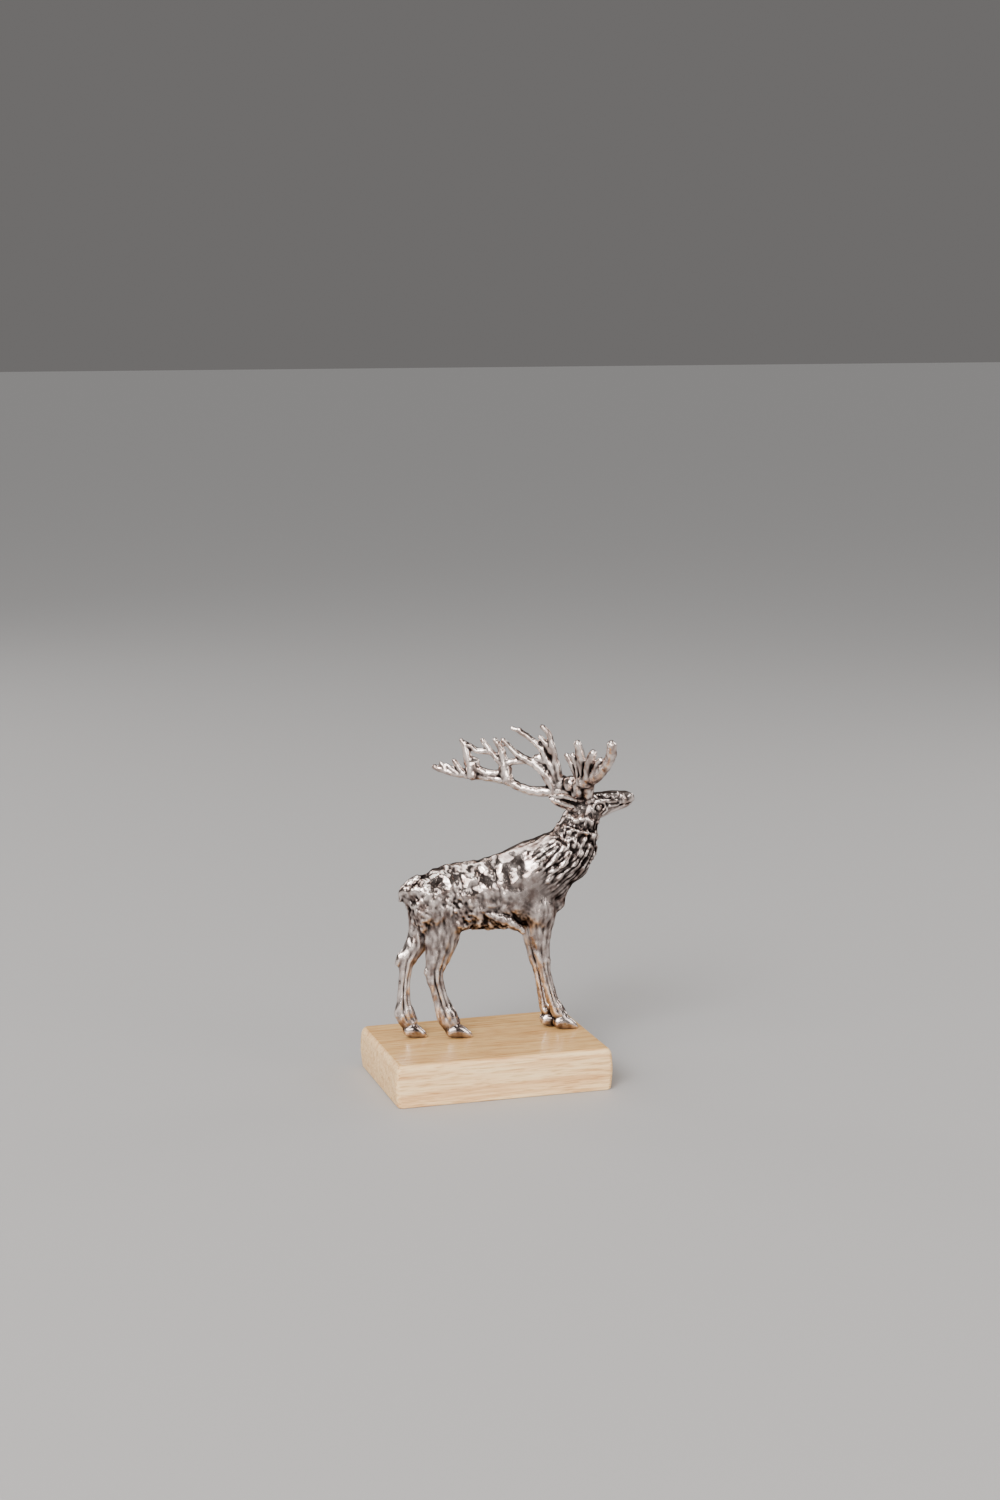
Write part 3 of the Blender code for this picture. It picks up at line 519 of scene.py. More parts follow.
def skull_side(ahead, up):
    """Half width of the skull at a place that is given ahead and up."""
    aheads, ups, depths, widths = np.array(SKULL).T
    centre = np.interp(ahead, aheads, ups)
    rise = min(0.97, abs(up - centre) / np.interp(ahead, aheads, depths))
    return np.interp(ahead, aheads, widths) * sqrt(1 - rise ** 2)


def add_face(clay):
    turn = degrees(HEAD_TURN)
    for side in (-1, 1):
        lid = []
        for step in range(LID_STEPS + 1):
            angle = 2 * pi * step / LID_STEPS
            ahead = EYE_CENTRE[0] + EYE_HALF_SIZE[0] * cos(angle)
            rise = sin(angle) * abs(sin(angle)) ** LID_POINTEDNESS
            up = EYE_CENTRE[1] + EYE_HALF_SIZE[1] * rise
            left = side * (skull_side(ahead, up) + LID_RISE)
            lid.append((*head_point(ahead, left, up), LID_RADIUS, LID_RADIUS))
        add_tube(clay, lid, SIDEWAYS, sides=8, steps=2)
        eye = head_point(EYE_CENTRE[0], side * (skull_side(*EYE_CENTRE) - EYE_SINK), EYE_CENTRE[1])
        add_ellipsoid(clay, eye, EYE_RADII, yaw=turn)
        for radius, places in FACE_RIDGES:
            ridge = [(*head_point(ahead, side * (skull_side(ahead, up) + RIDGE_RISE), up), radius, radius)
                     for ahead, up in places]
            add_tube(clay, ridge, SIDEWAYS, sides=8)
        # Ruff behind the jaw
        add_ellipsoid(clay, head_point(0.6, side * 2.6, -5.6), (3.4, 1.8, 1.5), pitch=-6, yaw=turn)


EAR_RIDGES = [  # shares of the half breadth up and of the half thickness out, and radius
    (0.62, 0.20, 1.10), (-0.34, 0.15, 1.15),
]


def add_ear_ridges(clay):
    """Thick upper rim and lower lobe inside each ear, short of its root and its tip."""
    for rows, opening in EARS:
        places = smooth_rows(rows, 3)[3:-2]
        _, depths, widths = path_frames(places[:, :3], opening)
        for rise, out, radius in EAR_RIDGES:
            lift = np.sign(depths[:, 2:]) * depths * places[:, 3:4] * rise
            line = places[:, :3] + lift + widths * places[:, 4:5] * out
            taper = radius * np.sin(np.linspace(0.6, 2.5, len(line)))
            add_tube(clay, np.column_stack([line, taper, taper]), opening, sides=8, steps=1)


ELBOW_FOLD = [  # x, distance from the middle plane, z, half depth and half width
    (-1.0, 6.2, 48.6, 0.8, 0.8), (4.5, 6.5, 46.0, 1.8, 1.6), (10.5, 5.8, 43.4, 2.2, 1.8),
    (15.5, 4.4, 39.6, 1.3, 1.2),
]


def add_elbow_folds(clay):
    """Fold of skin from the belly down to the back of each elbow."""
    for side in (-1, 1):
        add_tube(clay, [(x, side * y, z, depth, width) for x, y, z, depth, width in ELBOW_FOLD], MIDLINE)


BURR_BEADS = 9
BURR_REACH = 2.5
BURR_BEAD = (1.15, 0.95, 1.0)
BURR_BEAD_TURN = 50  # degrees from each bead to the next
BURR_TILTS = ((LEFT_ANTLER, 0.16), (RIGHT_ANTLER, 0.10))  # share of the beam that each is square to


def add_burrs(clay):
    """Ring of beads round the root of each antler."""
    for antler, share in BURR_TILTS:
        curve = smooth_rows(antler["beam"][2], 8)
        _, depths, widths = path_frames(curve)
        spot = int(share * len(curve))
        for bead in range(BURR_BEADS):
            angle = 2 * pi * bead / BURR_BEADS
            out = depths[spot] * cos(angle) + widths[spot] * sin(angle)
            centre = curve[0] + out * BURR_REACH
            add_ellipsoid(clay, centre, BURR_BEAD, yaw=BURR_BEAD_TURN * bead, sides=10, rows=6)


# Relief of the skin, in units: each point takes the relief of the parts of the animal that it is near

PART_SHARPNESS = 7.0
LEAST_RADIUS = 0.6
STRAND_STRETCH = 5.0  # length to width
STRAND_WIDTH = 1.05
CURL_STRETCH = 1.1
CURL_WIDTH = 1.9
CURLY_FROM = (0.54, 30)  # share of the neck's length, and sharpness
HAIR_RISE = 0.40
STRAND_HEIGHTS = (0.80, -0.40)  # low on the neck, and added at the curls
CURL_HEIGHTS = (0.35, 0.75)
HAIR_FROM = (0.14, 30)  # where the hair begins, and how sharply
HAIR_TO = (0.90, 40)
NAPE = (0.88, 25)  # how squarely its skin faces back, and how sharp its edge is
NAPE_BARENESS = 0.75
COLLARS = [  # place along the neck, reach and height of each ridge or dip across it
    (0.870, 0.024, 0.60), (0.805, 0.024, 0.22), (0.745, 0.018, 0.75), (0.560, 0.030, -0.50),
]
BARE_COLLAR = COLLARS[1]
COLLAR_BARENESS = 0.75
COLLAR_FRAY = 0.012  # how far the curls break the collars' edges
COLLAR_WAVE = 0.03
COLLAR_WAVE_SIZE = 6.0

HAUNCH = (-18.0, 49.0, 13.0)  # x, z and reach of the roughest coat
SHOULDER = (20.0, 58.0, 6.5)  # and of the smoothest
BELLY = (43.0, 6.0)  # z and reach
TUFTINESS = (0.22, 0.75, 0.45)  # everywhere, and added on the haunch and on the belly
SHOULDER_SMOOTHING = (0.8, 0.7)  # shares of the tufts and of the dapples that it loses
COAT_STRETCH = 0.8
DAPPLE = (0.95, 4.4, 3, COAT_STRETCH)  # height, size and seed, and stretch if any, as of all dents
DAPPLE_CREASE = (0.80, 5.2, 9)
LARGE_TUFT = (0.50, 1.9, 4)
SMALL_TUFT = (0.42, 1.1, 5)
TUFT_SLANT = 0.4
RIB_CREASES = (5.6, -1.2, -7.6)
RIB_CREASE_DEPTH = 0.28
RIB_CREASE_WIDTH = 0.8
RIB_CREASE_SWAY = (0.8, 3.0)  # how far each winds, and how slowly
RIBS = (58.0, 9.0)  # z and reach

LEG_GROOVES = [  # share of the leg's half depth ahead of its middle, half width and depth
    (-0.18, 0.16, 0.60), (0.42, 0.13, 0.34),
]
SHANKS = (18.0, 13.0)  # z and reach of the tendon grooves
LEG_DENT = (0.32, 1.35, 6, 0.35)

MOUTH = (-1.9, 0.38, 0.55)  # height, half width and depth of its line
MOUTH_CORNER = (14.5, 3)  # place ahead and sharpness
NOSTRIL = ((20.9, 0.7), (0.9, 0.6), (1.7, 0.9))  # place and reach ahead, up and to the side
NOSTRIL_DEPTH = 0.7
HEAD_DENT = (0.10, 1.3, 7)
ANTLER_DENT = (0.30, 1.5, 8, 0.5)

ELBOW_CREASE = (9.5, 49.0, 0.85)  # x and z near its upper end, and x gained for each unit down
ELBOW_CREASE_WIDTH = 0.7
ELBOW_CREASE_DEPTH = 0.42
ELBOW_CREASE_SPAN = (44.5, 4.0)  # z of its middle, and reach
SMOOTH_HOOVES = (6.0, 1.5)  # z and sharpness


def rough(points, size, seed):
    """Smooth noise between about -1 and 1, in bumps of about the size given."""
    shift = Vector((11.3, -7.9, 5.1)) * seed
    return np.array([noise.noise(Vector(point) + shift) for point in points / size])


def dents(points, height, size, seed, stretch=1.0):
    """Rough relief, drawn out upwards by a stretch under 1."""
    return height * rough(points * (1.0, 1.0, stretch), size, seed)


def bump(values, centre, reach):
    """Bell curve round a centre."""
    return np.exp(-((values - centre) / reach) ** 2)


def above(values, place, sharpness):
    """Smooth step from 0 below a place to 1 above it."""
    return 1 / (1 + np.exp(-(values - place) * sharpness))


def graded(pair, share):
    """The pair's first value, and as much of its second as the share says."""
    return pair[0] + pair[1] * share


def closeness(points, tubes):
    """Distance from each point to a part's nearest tube, as a share of the tube's radius."""
    nearest = np.full(len(points), np.inf)
    for stations in tubes:
        rows = smooth_rows(stations, 3)
        radii = np.maximum(rows[:, 3:].mean(axis=1), LEAST_RADIUS)
        for centre, radius in zip(rows[:, :3], radii):
            nearest = np.minimum(nearest, np.linalg.norm(points - centre, axis=1) / radius)
    return nearest


def part_shares(points):
    """How much each point belongs to each part of the animal, from 0 to 1."""
    antlers = [branch_rows(*branch) for antler in (LEFT_ANTLER, RIGHT_ANTLER) for branch in antler.values()]
    parts = {
        "trunk": [TRUNK],
        "neck": [NECK],
        "legs": [leg_rows(stations, side) for stations, side in LEGS],
        "head": [head_rows(SKULL), head_rows(JAW), RIGHT_EAR, LEFT_EAR],
        "antlers": antlers,
    }
    scores = {name: np.exp(-PART_SHARPNESS * closeness(points, tubes)) for name, tubes in parts.items()}
    total = sum(scores.values())
    return {name: score / total for name, score in scores.items()}


def seen_from_neck(points):
    """Each point's place across the neck in two directions, its share along it, and the neck's length."""
    centres = smooth_rows(NECK, 6)[:, :3]
    frames = path_frames(centres, MIDLINE)
    steps = np.linalg.norm(np.diff(centres, axis=0), axis=1)
    lengths = np.concatenate([[0.0], np.cumsum(steps)])
    distances = [np.linalg.norm(points - centre, axis=1) for centre in centres]
    nearest = np.argmin(distances, axis=0)
    offset = points - centres[nearest]
    along, deep, wide = (np.sum(offset * axis[nearest], axis=1) for axis in frames)
    return deep, wide, (lengths[nearest] + along) / lengths[-1], lengths[-1]


def hair_cover(neck_view):
    """Share of the skin that long hair covers: from the shoulder to the jaw, and less on the nape."""
    deep, wide, share, _ = neck_view
    nape = above(-deep / np.hypot(deep, wide), *NAPE)
    return (1 - NAPE_BARENESS * nape) * above(share, *HAIR_FROM) * (1 - above(share, *HAIR_TO))


def hair_relief(points, neck_view):
    """Strands low on the neck, curls higher up, and collars across it."""
    deep, wide, share, length = neck_view
    strands = rough(np.stack([deep, wide, share * length / STRAND_STRETCH], axis=1), STRAND_WIDTH, 1)
    curls = rough(np.stack([deep, wide, share * length / CURL_STRETCH], axis=1), CURL_WIDTH, 2)
    curly = above(share, *CURLY_FROM)
    fur = HAIR_RISE + graded(STRAND_HEIGHTS, curly) * strands + graded(CURL_HEIGHTS, curly) * curls
    wavering = share + COLLAR_FRAY * curls + COLLAR_WAVE * rough(points, COLLAR_WAVE_SIZE, 11)
    collars = sum(height * bump(wavering, place, reach) for place, reach, height in COLLARS)
    furry = 1 - COLLAR_BARENESS * bump(wavering, BARE_COLLAR[0], BARE_COLLAR[1])
    return hair_cover(neck_view) * (furry * fur + collars)


def near_in_side_view(points, place):
    """Bell curve round a place of x, z and reach, as seen from the side."""
    x, z, reach = place
    return np.exp(-((points[:, 0] - x) ** 2 + (points[:, 2] - z) ** 2) / reach ** 2)


def coat_cover(points):
    """How tufty and how dappled the coat is: most on the haunch and belly, least on the shoulder."""
    shoulder = near_in_side_view(points, SHOULDER)
    base, on_haunch, on_belly = TUFTINESS
    tufty = base + on_haunch * near_in_side_view(points, HAUNCH) + on_belly * bump(points[:, 2], *BELLY)
    tufts_lost, dapples_lost = SHOULDER_SMOOTHING
    return tufty * (1 - tufts_lost * shoulder), 1 - dapples_lost * shoulder


def coat_relief(points):
    """Dapples over the trunk, rib creases, and tufts that lean back."""
    x, y, z = points.T
    tufty, dappled = coat_cover(points)
    dapples = dents(points, *DAPPLE) - np.abs(dents(points, *DAPPLE_CREASE))
    leaned = np.stack([x + TUFT_SLANT * z, y, COAT_STRETCH * z], axis=1)
    tufts = dents(leaned, *LARGE_TUFT) + dents(leaned, *SMALL_TUFT)
    winding = x + RIB_CREASE_SWAY[0] * np.sin(z / RIB_CREASE_SWAY[1])
    creases = sum(bump(winding, crease, RIB_CREASE_WIDTH) for crease in RIB_CREASES)
    return dappled * dapples + tufty * tufts - RIB_CREASE_DEPTH * creases * bump(z, *RIBS)


def leg_relief(points, normals):
    """Tendon grooves along the sides of the legs, and small dents."""
    x, y, z = points.T
    sideways = np.abs(normals[:, 1]) * bump(z, *SHANKS)
    grooves = np.zeros(len(points))
    nearest = np.full(len(points), np.inf)
    for stations, side in LEGS:
        rows = np.array(leg_rows(stations, side))[::-1]
        centre, middle, depth = (np.interp(z, rows[:, 2], rows[:, column]) for column in (0, 1, 3))
        away = np.hypot(x - centre, y - middle)
        ahead = (x - centre) / depth
        groove = sum(deep * bump(ahead, place, reach) for place, reach, deep in LEG_GROOVES)
        grooves = np.where(away < nearest, groove, grooves)
        nearest = np.minimum(away, nearest)
    return dents(points, *LEG_DENT) - sideways * grooves


def head_relief(points):
    """Small dents, the mouth's line and the nostrils."""
    offset = points - np.array(HEAD_CENTRE)
    ahead, left, high = (offset @ axis for axis in head_axes())
    height, half_width, depth = MOUTH
    mouth = bump(high, height, half_width) * above(ahead, *MOUTH_CORNER)
    nostril = bump(ahead, *NOSTRIL[0]) * bump(high, *NOSTRIL[1]) * bump(np.abs(left), *NOSTRIL[2])
    return dents(points, *HEAD_DENT) - depth * mouth - NOSTRIL_DEPTH * nostril


def elbow_crease(points):
    """Sharp crease between each elbow and the fold behind it."""
    start_x, start_z, slope = ELBOW_CREASE
    ahead = points[:, 0] - start_x - slope * (start_z - points[:, 2])
    return ELBOW_CREASE_DEPTH * bump(ahead, 0.0, ELBOW_CREASE_WIDTH) * bump(points[:, 2], *ELBOW_CREASE_SPAN)


def skin_relief(points, normals, shares, neck_view):
    """How far the relief lifts each point of the skin."""
    return -elbow_crease(points) + above(points[:, 2], *SMOOTH_HOOVES) * (
        shares["trunk"] * coat_relief(points)
        + shares["neck"] * hair_relief(points, neck_view)
        + shares["legs"] * leg_relief(points, normals)
        + shares["head"] * head_relief(points)
        + shares["antlers"] * dents(points, *ANTLER_DENT))


def standing_out(points, normals, edges, steps):
    """How far each point stands out from the mean of the skin around it, in units."""
    count = len(points)
    neighbours = np.bincount(edges.ravel(), minlength=count)
    mean = points.copy()
    for _ in range(steps):
        for column in range(3):
            values = mean[:, column]
            total = (np.bincount(edges[:, 0], values[edges[:, 1]], count)
                     + np.bincount(edges[:, 1], values[edges[:, 0]], count))
            mean[:, column] = 0.5 * values + 0.5 * total / neighbours
    return np.sum((points - mean) * normals, axis=1)


# Materials

METAL_EDGE = (0.22, 0.18, 0.17, 1.0)
# metal colour by tone: low tones are the hollows' patina and painted shade, high tones the crests
METAL_TONES = [(0.22, (0.018, 0.014, 0.013)), (0.38, (0.215, 0.18, 0.168)),
               (0.53, (0.54, 0.465, 0.435)), (0.70, (0.97, 0.86, 0.80))]
METAL_SMUDGES = [(0.38, (0.50, 0.44, 0.42)), (0.56, (1.0, 1.0, 1.0))]
METAL_ROUGHNESS = (0.10, 0.22)
UNPOLISHED_ROUGHNESS = 0.35
STRAND_HEIGHT = 0.00036  # metres, of the finest hair
STRAND_SCALE = 1.5
TUFT_SCALE = 1300.0
TUFT_LEAN = radians(-30)
TUFT_STRETCH = (1.0, 1.0, 0.35)
TUFT_SHARE = 0.6
DENT_SCALE = 1500.0
DENT_SHARE = 0.10
BLOTCH_SCALE = 260.0
BLOTCH_RANGE = (0.35, 0.7)
CARVED_TONE = 0.9
WOOD_STREAKS = [(0.28, (0.66, 0.36, 0.15)), (0.42, (0.82, 0.51, 0.24)), (0.54, (0.93, 0.64, 0.33)),
                (0.70, (0.97, 0.71, 0.39))]
WOOD_PORES = [(0.32, (0.66, 0.52, 0.38)), (0.48, (1.0, 1.0, 1.0))]
STREAK_SCALE = (24.0, 420.0, 420.0)
PORE_SCALE = (130.0, 2100.0, 2100.0)
PORE_STRENGTH = 0.8
FIBRE_HEIGHT = 0.0001  # metres
FIBRE_STRENGTH = 0.25
# painted shade: the top face is tinted darker and more golden than the sides
TOP_SHADE_TINT = (0.76, 0.68, 0.52, 1.0)
TOP_FACING = (0.5, 0.95)  # how level the surface is where the top's painted shade and gloss begin and are full
LACQUER_SPECULAR = 0.3
WOOD_ROUGHNESS = (0.55, 0.26)  # on the sides and on top


def new_material(name):
    material = bpy.data.materials.new(name)
    material.use_nodes = True
    tree = material.node_tree
    return material, tree, tree.nodes["Principled BSDF"]


def set_inputs(tree, node, inputs):
    """Links a node's inputs to sockets, or sets them to values."""
    for name, value in inputs.items():
        if isinstance(value, bpy.types.NodeSocket):
            tree.links.new(value, node.inputs[name])
        else:
            node.inputs[name].default_value = value


def add_node(tree, kind, inputs=None, **settings):
    node = tree.nodes.new(kind)
    for name, value in settings.items():
        setattr(node, name, value)
    set_inputs(tree, node, inputs or {})
    return node


def add_ramp(tree, factor, stops):
    """Colour ramp with stops of position and colour."""
    node = add_node(tree, "ShaderNodeValToRGB", {"Fac": factor})
    elements = node.color_ramp.elements
    while len(elements) < len(stops):
        elements.new(0.5)
    for element, (position, colour) in zip(elements, stops):
        element.position = position
        element.color = (*colour, 1.0)
    return node.outputs["Color"]


def combine(tree, operation, first, second):
    node = add_node(tree, "ShaderNodeMath", {0: first, 1: second}, operation=operation)
    return node.outputs["Value"]


def multiply_colours(tree, first, second, factor):
    """The first colour, multiplied by the second as far as the factor says."""
    inputs = {"Factor": factor, "A": first, "B": second}
    return add_node(tree, "ShaderNodeMix", inputs, data_type="RGBA", blend_type="MULTIPLY").outputs["Result"]


def add_noise(tree, place, scale, detail, **others):
    inputs = {"Vector": place, "Scale": scale, "Detail": detail, **others}
    return add_node(tree, "ShaderNodeTexNoise", inputs).outputs["Fac"]


def read_stored(tree, name, output="Fac"):
    return add_node(tree, "ShaderNodeAttribute", attribute_name=name).outputs[output]


def scaled_place(tree, place, scale, rotation=(0.0, 0.0, 0.0)):
    inputs = {"Vector": place, "Rotation": rotation, "Scale": scale}
    return add_node(tree, "ShaderNodeMapping", inputs).outputs["Vector"]


def make_cast_metal():
    """Bright plated metal, dark in its hollows, partly as patina and partly as painted shade, with strands,
    tufts and fine dents.
    """
    material, tree, shader = new_material("bright_cast_metal")
    place = add_node(tree, "ShaderNodeTexCoord").outputs["Object"]
    strand_noise = add_noise(tree, read_stored(tree, "strand_place", "Vector"), STRAND_SCALE, 2.0)
    tuft_place = scaled_place(tree, place, TUFT_STRETCH, (0.0, TUFT_LEAN, 0.0))
    tuft_noise = add_noise(tree, tuft_place, TUFT_SCALE, 2.0)
    strands = combine(tree, "MULTIPLY", strand_noise, read_stored(tree, "hair"))
    tufts = combine(tree, "MULTIPLY", tuft_noise, read_stored(tree, "coat"))
    carved = combine(tree, "ADD", strands, combine(tree, "MULTIPLY", tufts, TUFT_SHARE))
    dents = combine(tree, "MULTIPLY", add_noise(tree, place, DENT_SCALE, 2.0), DENT_SHARE)
    relief = add_node(tree, "ShaderNodeBump", {"Height": combine(tree, "ADD", carved, dents),
                                               "Strength": 1.0, "Distance": STRAND_HEIGHT})
    # the tone is darker in the grooves of the strands and tufts, partly patina and partly painted shade
    tone = combine(tree, "ADD", read_stored(tree, "tone"), combine(tree, "MULTIPLY", carved, CARVED_TONE))
    blotches = add_noise(tree, place, BLOTCH_SCALE, 3.0)
    colour = multiply_colours(tree, add_ramp(tree, tone, METAL_TONES),
                              add_ramp(tree, blotches, METAL_SMUDGES), 1.0)
    shine = add_node(tree, "ShaderNodeMapRange", {
        "Value": blotches, "From Min": BLOTCH_RANGE[0], "From Max": BLOTCH_RANGE[1],
        "To Min": METAL_ROUGHNESS[0], "To Max": METAL_ROUGHNESS[1]})
    matt = combine(tree, "MULTIPLY", read_stored(tree, "unpolished"), UNPOLISHED_ROUGHNESS)
    roughness = combine(tree, "ADD", shine.outputs["Result"], matt)
    set_inputs(tree, shader, {"Base Color": colour, "Metallic": 1.0, "Specular Tint": METAL_EDGE,
                              "Roughness": roughness, "Normal": relief.outputs["Normal"]})
    return material


def make_wood():
    """Pale wood with grain along X; its top is glossier, and painted shade tints it darker and more golden.
    """
    material, tree, shader = new_material("lacquered_pale_wood")
    place = add_node(tree, "ShaderNodeTexCoord").outputs["Object"]
    streak_place = scaled_place(tree, place, STREAK_SCALE)
    streaks = add_noise(tree, streak_place, 1.0, 4.0, Roughness=0.6, Distortion=1.2)
    pores = add_noise(tree, scaled_place(tree, place, PORE_SCALE), 1.0, 2.0)
    grained = multiply_colours(tree, add_ramp(tree, streaks, WOOD_STREAKS),
                               add_ramp(tree, pores, WOOD_PORES), PORE_STRENGTH)
    surface = add_node(tree, "ShaderNodeNewGeometry")
    facing = add_node(tree, "ShaderNodeSeparateXYZ", {"Vector": surface.outputs["Normal"]})
    low, high = TOP_FACING
    on_top = add_node(tree, "ShaderNodeMapRange",
                      {"Value": facing.outputs["Z"], "From Min": low, "From Max": high}).outputs["Result"]
    # painted shade: surfaces that face up are tinted darker and more golden
    colour = multiply_colours(tree, grained, TOP_SHADE_TINT, on_top)
    sides, top = WOOD_ROUGHNESS
    shine = add_node(tree, "ShaderNodeMapRange", {"Value": on_top, "To Min": sides, "To Max": top})
    fibres = add_node(tree, "ShaderNodeBump", {"Height": pores, "Strength": FIBRE_STRENGTH,
                                               "Distance": FIBRE_HEIGHT})
    set_inputs(tree, shader, {"Base Color": colour, "Specular IOR Level": LACQUER_SPECULAR,
                              "Roughness": shine.outputs["Result"], "Normal": fibres.outputs["Normal"]})
    return material


# The two pieces

RELIEF_STEPS = (6, 40)  # of smoothing, for fine and broad relief
BROAD_SHARE = 0.35
CONTRAST = 1.2  # of the tone, with one more on the head and on the antlers
MEAN_TONE = 0.52
TONE_CHANGES = {  # what each place adds to the tone
    "hair": -0.61,
    "coat": -0.24,
    "antlers": 0.03,
    # painted shade: skin that faces down is darkened
    "under": -0.26,
    # painted shade: the hooves are darkened up to their top
    "hooves": -0.12,
}
COAT_ON_LEGS = 0.5
COAT_END = 8.0  # z
UNDERSIDE_FROM = 0.2  # how far up the skin may face and still take the painted underside shade
ANTLER_UNSHADED_SHARE = 0.5  # share of the painted underside shade that the antlers are spared, as the head is wholly
HOOF_TOP = (4.6, 3.0)  # z and sharpness of the top of the hooves' painted shade


def add_object(name, data):
    item = bpy.data.objects.new(name, data)
    bpy.context.scene.collection.objects.link(item)
    return item


def make_object(name, points, faces):
    mesh = bpy.data.meshes.new(name)
    mesh.from_pydata([tuple(point) for point in points], [], faces)
    return add_object(name, mesh)


def joined_skin(name, clay, voxel, smoothing):
    """Mesh that is one smooth skin over the clay's overlapping shells, still in units."""
    lump = make_object("lump", clay.points, clay.faces)
    skin = lump.modifiers.new("one_skin", "REMESH")
    skin.mode = "VOXEL"
    skin.voxel_size = voxel
    soften = lump.modifiers.new("soften", "SMOOTH")
    soften.factor = 0.5
    soften.iterations = smoothing
    bpy.context.view_layer.update()
    graph = bpy.context.evaluated_depsgraph_get()
    mesh = bpy.data.meshes.new_from_object(lump.evaluated_get(graph))
    mesh.name = name
    bpy.data.objects.remove(lump)
    return mesh


def melted(clay):
    """The same clay with its shells melted into each other."""
    mesh = joined_skin("muscles", clay, MUSCLE_VOXEL, MUSCLE_SMOOTHING)
    result = Clay()
    result.add([tuple(vertex.co) for vertex in mesh.vertices],
               [tuple(polygon.vertices) for polygon in mesh.polygons])
    bpy.data.meshes.remove(mesh)
    return result


def casting_clay():
    """Every shell of the animal: the muscles melted together, and the crisper parts over them."""
    muscles = Clay()
    add_torso(muscles)
    add_legs(muscles)
    clay = melted(muscles)
    add_legs(clay)
    for heel_x, toe_x, side in HOOVES:
        add_hoof(clay, heel_x, toe_x, side)
    add_tube(clay, TAIL, MIDLINE)
    add_head(clay)
    add_face(clay)
    add_ear_ridges(clay)
    add_burrs(clay)
    add_elbow_folds(clay)
    add_antlers(clay)
    add_mane(clay)
    return clay


def read_rows(items, name, width=3, kind=float):
    values = np.empty(width * len(items), kind)
    items.foreach_get(name, values)
    return values.reshape(-1, width)


def store(mesh, name, kind, values):
    """Attribute of the mesh's points, for the material to read."""
    attribute = mesh.attributes.new(name, kind, "POINT")
    attribute.data.foreach_set("vector" if kind == "FLOAT_VECTOR" else "value", np.ravel(values))


def store_looks(mesh, points, normals, shares, neck_view):
    """What the metal reads at each point: its tone, darkened by painted shade on undersides and hooves and
    partly in hollows, its lack of polish, hair, coat and place in the hair.
    """
    deep, wide, along, neck_length = neck_view
    hair = shares["neck"] * hair_cover(neck_view)
    coat = shares["trunk"] * coat_cover(points)[0] + COAT_ON_LEGS * shares["legs"] * (points[:, 2] > COAT_END)
    unshaded = ANTLER_UNSHADED_SHARE * shares["antlers"] + shares["head"]
    # painted shade: the more the skin faces down, the darker its tone, except on the head and less so on the
    # antlers; the same share makes it rougher
    under = np.clip(UNDERSIDE_FROM - normals[:, 2], 0.0, 1.0) * (1 - unshaded)
    edges = read_rows(mesh.edges, "vertices", 2, int)
    fine, broad = (standing_out(points, normals, edges, steps) for steps in RELIEF_STEPS)
    contrast = CONTRAST + shares["head"] + shares["antlers"]
    places = {"hair": hair, "coat": coat, "antlers": shares["antlers"], "under": under,
              "hooves": 1 - above(points[:, 2], *HOOF_TOP)}
    # the tone is darker where the skin lies in a hollow and lighter where it stands out: partly patina,
    # partly painted shade
    tone = MEAN_TONE + (fine + BROAD_SHARE * broad) * contrast
    for name, change in TONE_CHANGES.items():
        tone += change * places[name]
    for name, values in (("tone", tone), ("unpolished", under), ("hair", hair), ("coat", coat)):
        store(mesh, name, "FLOAT", values)
    store(mesh, "strand_place", "FLOAT_VECTOR",
          np.stack([deep, wide, along * neck_length / STRAND_STRETCH], axis=1))


def make_casting(sole_centre, material):
    mesh = joined_skin("reindeer_casting", casting_clay(), SKIN_VOXEL, SKIN_SMOOTHING)
    points = read_rows(mesh.vertices, "co")
    normals = read_rows(mesh.vertex_normals, "vector")
    shares = part_shares(points)
    neck_view = seen_from_neck(points)
    points += normals * skin_relief(points, normals, shares, neck_view)[:, None]
    points[:, 2] = np.maximum(points[:, 2], SOLE_LEVEL)
    mesh.vertices.foreach_set("co", (points * UNIT + np.array(sole_centre)).ravel())
    store_looks(mesh, points, normals, shares, neck_view)
    mesh.polygons.foreach_set("use_smooth", [True] * len(mesh.polygons))
    mesh.materials.clear()
    mesh.materials.append(material)
    mesh.update()
    piece = add_object("reindeer_casting", mesh)
    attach(piece, "root")
    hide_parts("reindeer")


def rounded_outline(half_x, half_y, radius, steps):
    """Rectangle with round corners, as points in order."""
    outline = []
    for quarter, (x, y) in enumerate(((1, 1), (-1, 1), (-1, -1), (1, -1))):
        for step in range(steps + 1):
            angle = pi / 2 * (quarter + step / steps)
            outline.append((x * (half_x - radius) + radius * cos(angle),
                            y * (half_y - radius) + radius * sin(angle)))
    return outline


def block_levels(low, high, foot_steps=5, side_steps=16, top_steps=14):
    """Inset and height of each outline of the block, from its foot to its top."""
    levels = []
    for step in range(foot_steps):
        angle = pi / 2 * step / foot_steps
        levels.append((BASE_FOOT_ROUNDING * (1 - sin(angle)),
                       low.z + BASE_FOOT_ROUNDING * (1 - cos(angle))))
    bottom = low.z + BASE_FOOT_ROUNDING
    side = high.z - BASE_TOP_ROUNDING - bottom
    levels.extend((0.0, bottom + side * step / side_steps) for step in range(side_steps))
    for step in range(top_steps + 1):
        angle = pi / 2 * step / top_steps
        levels.append((BASE_TOP_INSET * (1 - cos(angle)),
                       high.z - BASE_TOP_ROUNDING * (1 - sin(angle))))
    return levels


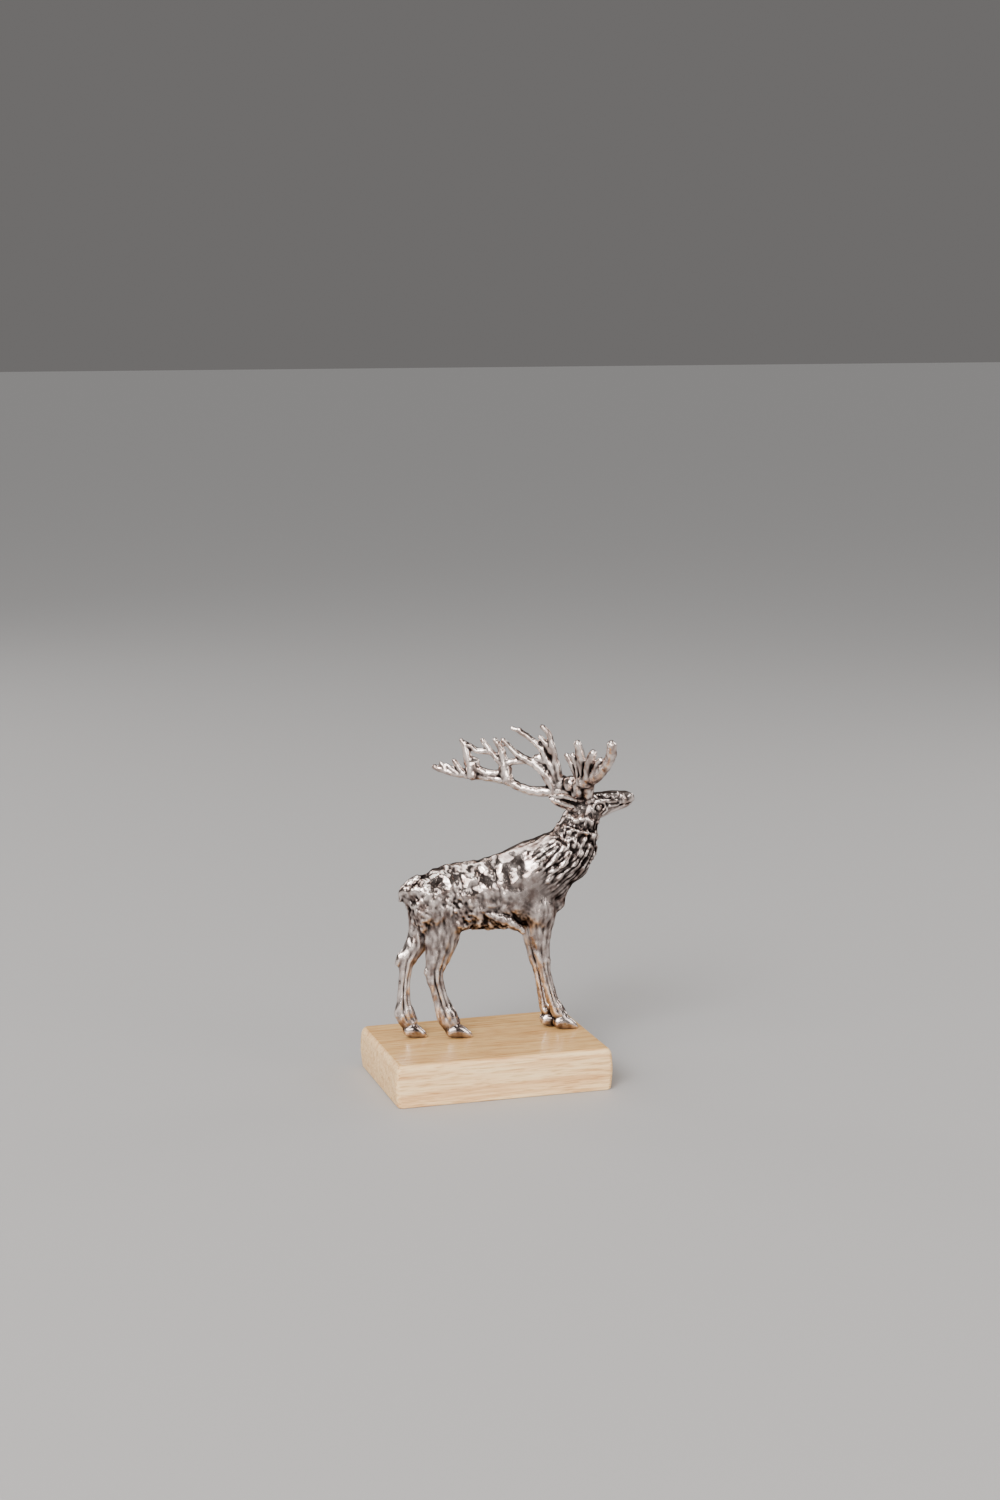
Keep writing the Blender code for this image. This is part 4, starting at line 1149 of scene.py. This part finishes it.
def make_block(low, high, material, corner_steps=8):
    """Block as a stack of outlines that draw in at its foot and its top, and swell between them."""
    levels = block_levels(low, high)
    points = []
    for inset, height in levels:
        radius = max(BASE_CORNER_RADIUS - 0.5 * inset, 0.2 * BASE_CORNER_RADIUS)
        belly = BASE_END_BELLY * sin(pi * (height - low.z) / (high.z - low.z))
        half_length = high.x - BASE_END_BELLY - inset + belly
        outline = rounded_outline(half_length, high.y - inset, radius, corner_steps)
        points.extend((x, y, height) for x, y in outline)
    count = 4 * (corner_steps + 1)
    faces = [tuple(reversed(range(count)))]
    for start in range(0, (len(levels) - 1) * count, count):
        for index in range(count):
            other = (index + 1) % count
            faces.append((start + index, start + other, start + count + other, start + count + index))
    faces.append(tuple((len(levels) - 1) * count + index for index in range(count)))
    piece = make_object("rounded_wood_block", points, faces)
    piece.data.polygons.foreach_set("use_smooth", [len(face) == 4 for face in faces])
    piece.data.materials.append(material)
    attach(piece, "root")
    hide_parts("wood_base")


# Floor, lights and camera

FLOOR_COLOUR = (0.38, 0.374, 0.37, 1.0)
FLOOR_ROUGHNESS = 0.7
FLOOR_REACH = 30.0  # metres
WORLD_COLOUR = (0.16, 0.154, 0.151, 1.0)
SUN = ((-0.60, -0.80, 0.75), radians(24), 2.7)  # from where, how wide and how strong
SOFT_LIGHTS = [  # place, size across and up, power and colour
    ((-1.10, -0.90, 1.00), (1.40, 1.10), 20.0, (1.0, 0.95, 0.92)),
    ((-0.35, -1.50, 0.40), (0.90, 0.45), 11.0, (1.0, 0.94, 0.90)),
    ((0.90, -1.00, 0.55), (0.45, 0.90), 6.0, (1.0, 0.95, 0.93)),
    ((-0.10, -0.05, 1.30), (1.40, 0.60), 9.0, (1.0, 0.97, 0.95)),
    ((1.00, 0.30, 0.50), (0.40, 0.60), 3.0, (1.0, 0.97, 0.95)),
    ((-0.70, 1.20, 0.65), (0.40, 0.70), 5.0, (1.0, 0.97, 0.95)),
]


def place_lamp(light, place, direction):
    """Lamp at a place that shines in a direction."""
    lamp = add_object(light.name, light)
    lamp.location = place
    lamp.rotation_euler = direction.to_track_quat("-Z", "Y").to_euler()
    return lamp


def make_lights(target):
    for place, size, power, colour in SOFT_LIGHTS:
        light = bpy.data.lights.new("soft_light", "AREA")
        light.shape = "RECTANGLE"
        light.size, light.size_y = size
        light.energy = power
        light.color = colour
        place_lamp(light, place, target - Vector(place)).visible_camera = False
    source, angle, strength = SUN
    sun = bpy.data.lights.new("broad_sun", "SUN")
    sun.angle = angle
    sun.energy = strength
    place_lamp(sun, (0.0, 0.0, 0.0), -Vector(source))


def make_floor():
    material, tree, shader = new_material("pale_floor")
    set_inputs(tree, shader, {"Base Color": FLOOR_COLOUR, "Roughness": FLOOR_ROUGHNESS})
    corners = [(x * FLOOR_REACH, y * FLOOR_REACH, 0) for x, y in ((-1, -1), (1, -1), (1, 1), (-1, 1))]
    floor = make_object("floor", corners, [(0, 1, 2, 3)])
    floor.data.materials.append(material)


def make_world():
    world = bpy.data.worlds.new("studio")
    world.use_nodes = True
    world.node_tree.nodes["Background"].inputs["Color"].default_value = WORLD_COLOUR
    bpy.context.scene.world = world


def make_camera():
    camera = bpy.data.cameras.new("photo_camera")
    camera.lens = CAMERA_LENS
    camera.sensor_width = CAMERA_SENSOR
    view = add_object("photo_camera", camera)
    turn = (Matrix.Rotation(radians(CAMERA_HEADING), 4, "Z")
            @ Matrix.Rotation(radians(90 + CAMERA_PITCH), 4, "X")
            @ Matrix.Rotation(radians(CAMERA_ROLL), 4, "Z"))
    view.matrix_world = Matrix.Translation(CAMERA_PLACE) @ turn
    bpy.context.scene.camera = view


def main():
    base_low, base_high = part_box("wood_base")
    figure_low, figure_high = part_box("reindeer")
    sole_centre = (base_low.x + BASE_END_BELLY + BASE_REAR_MARGIN - HEEL_X * UNIT,
                   base_low.y + BASE_RIGHT_MARGIN + (LEG_SPREAD + HOOF_HALF_WIDTH) * UNIT,
                   figure_low.z)
    make_camera()
    make_floor()
    make_world()
    make_lights((figure_low + figure_high) / 2)
    make_block(base_low, base_high, make_wood())
    make_casting(sole_centre, make_cast_metal())


main()
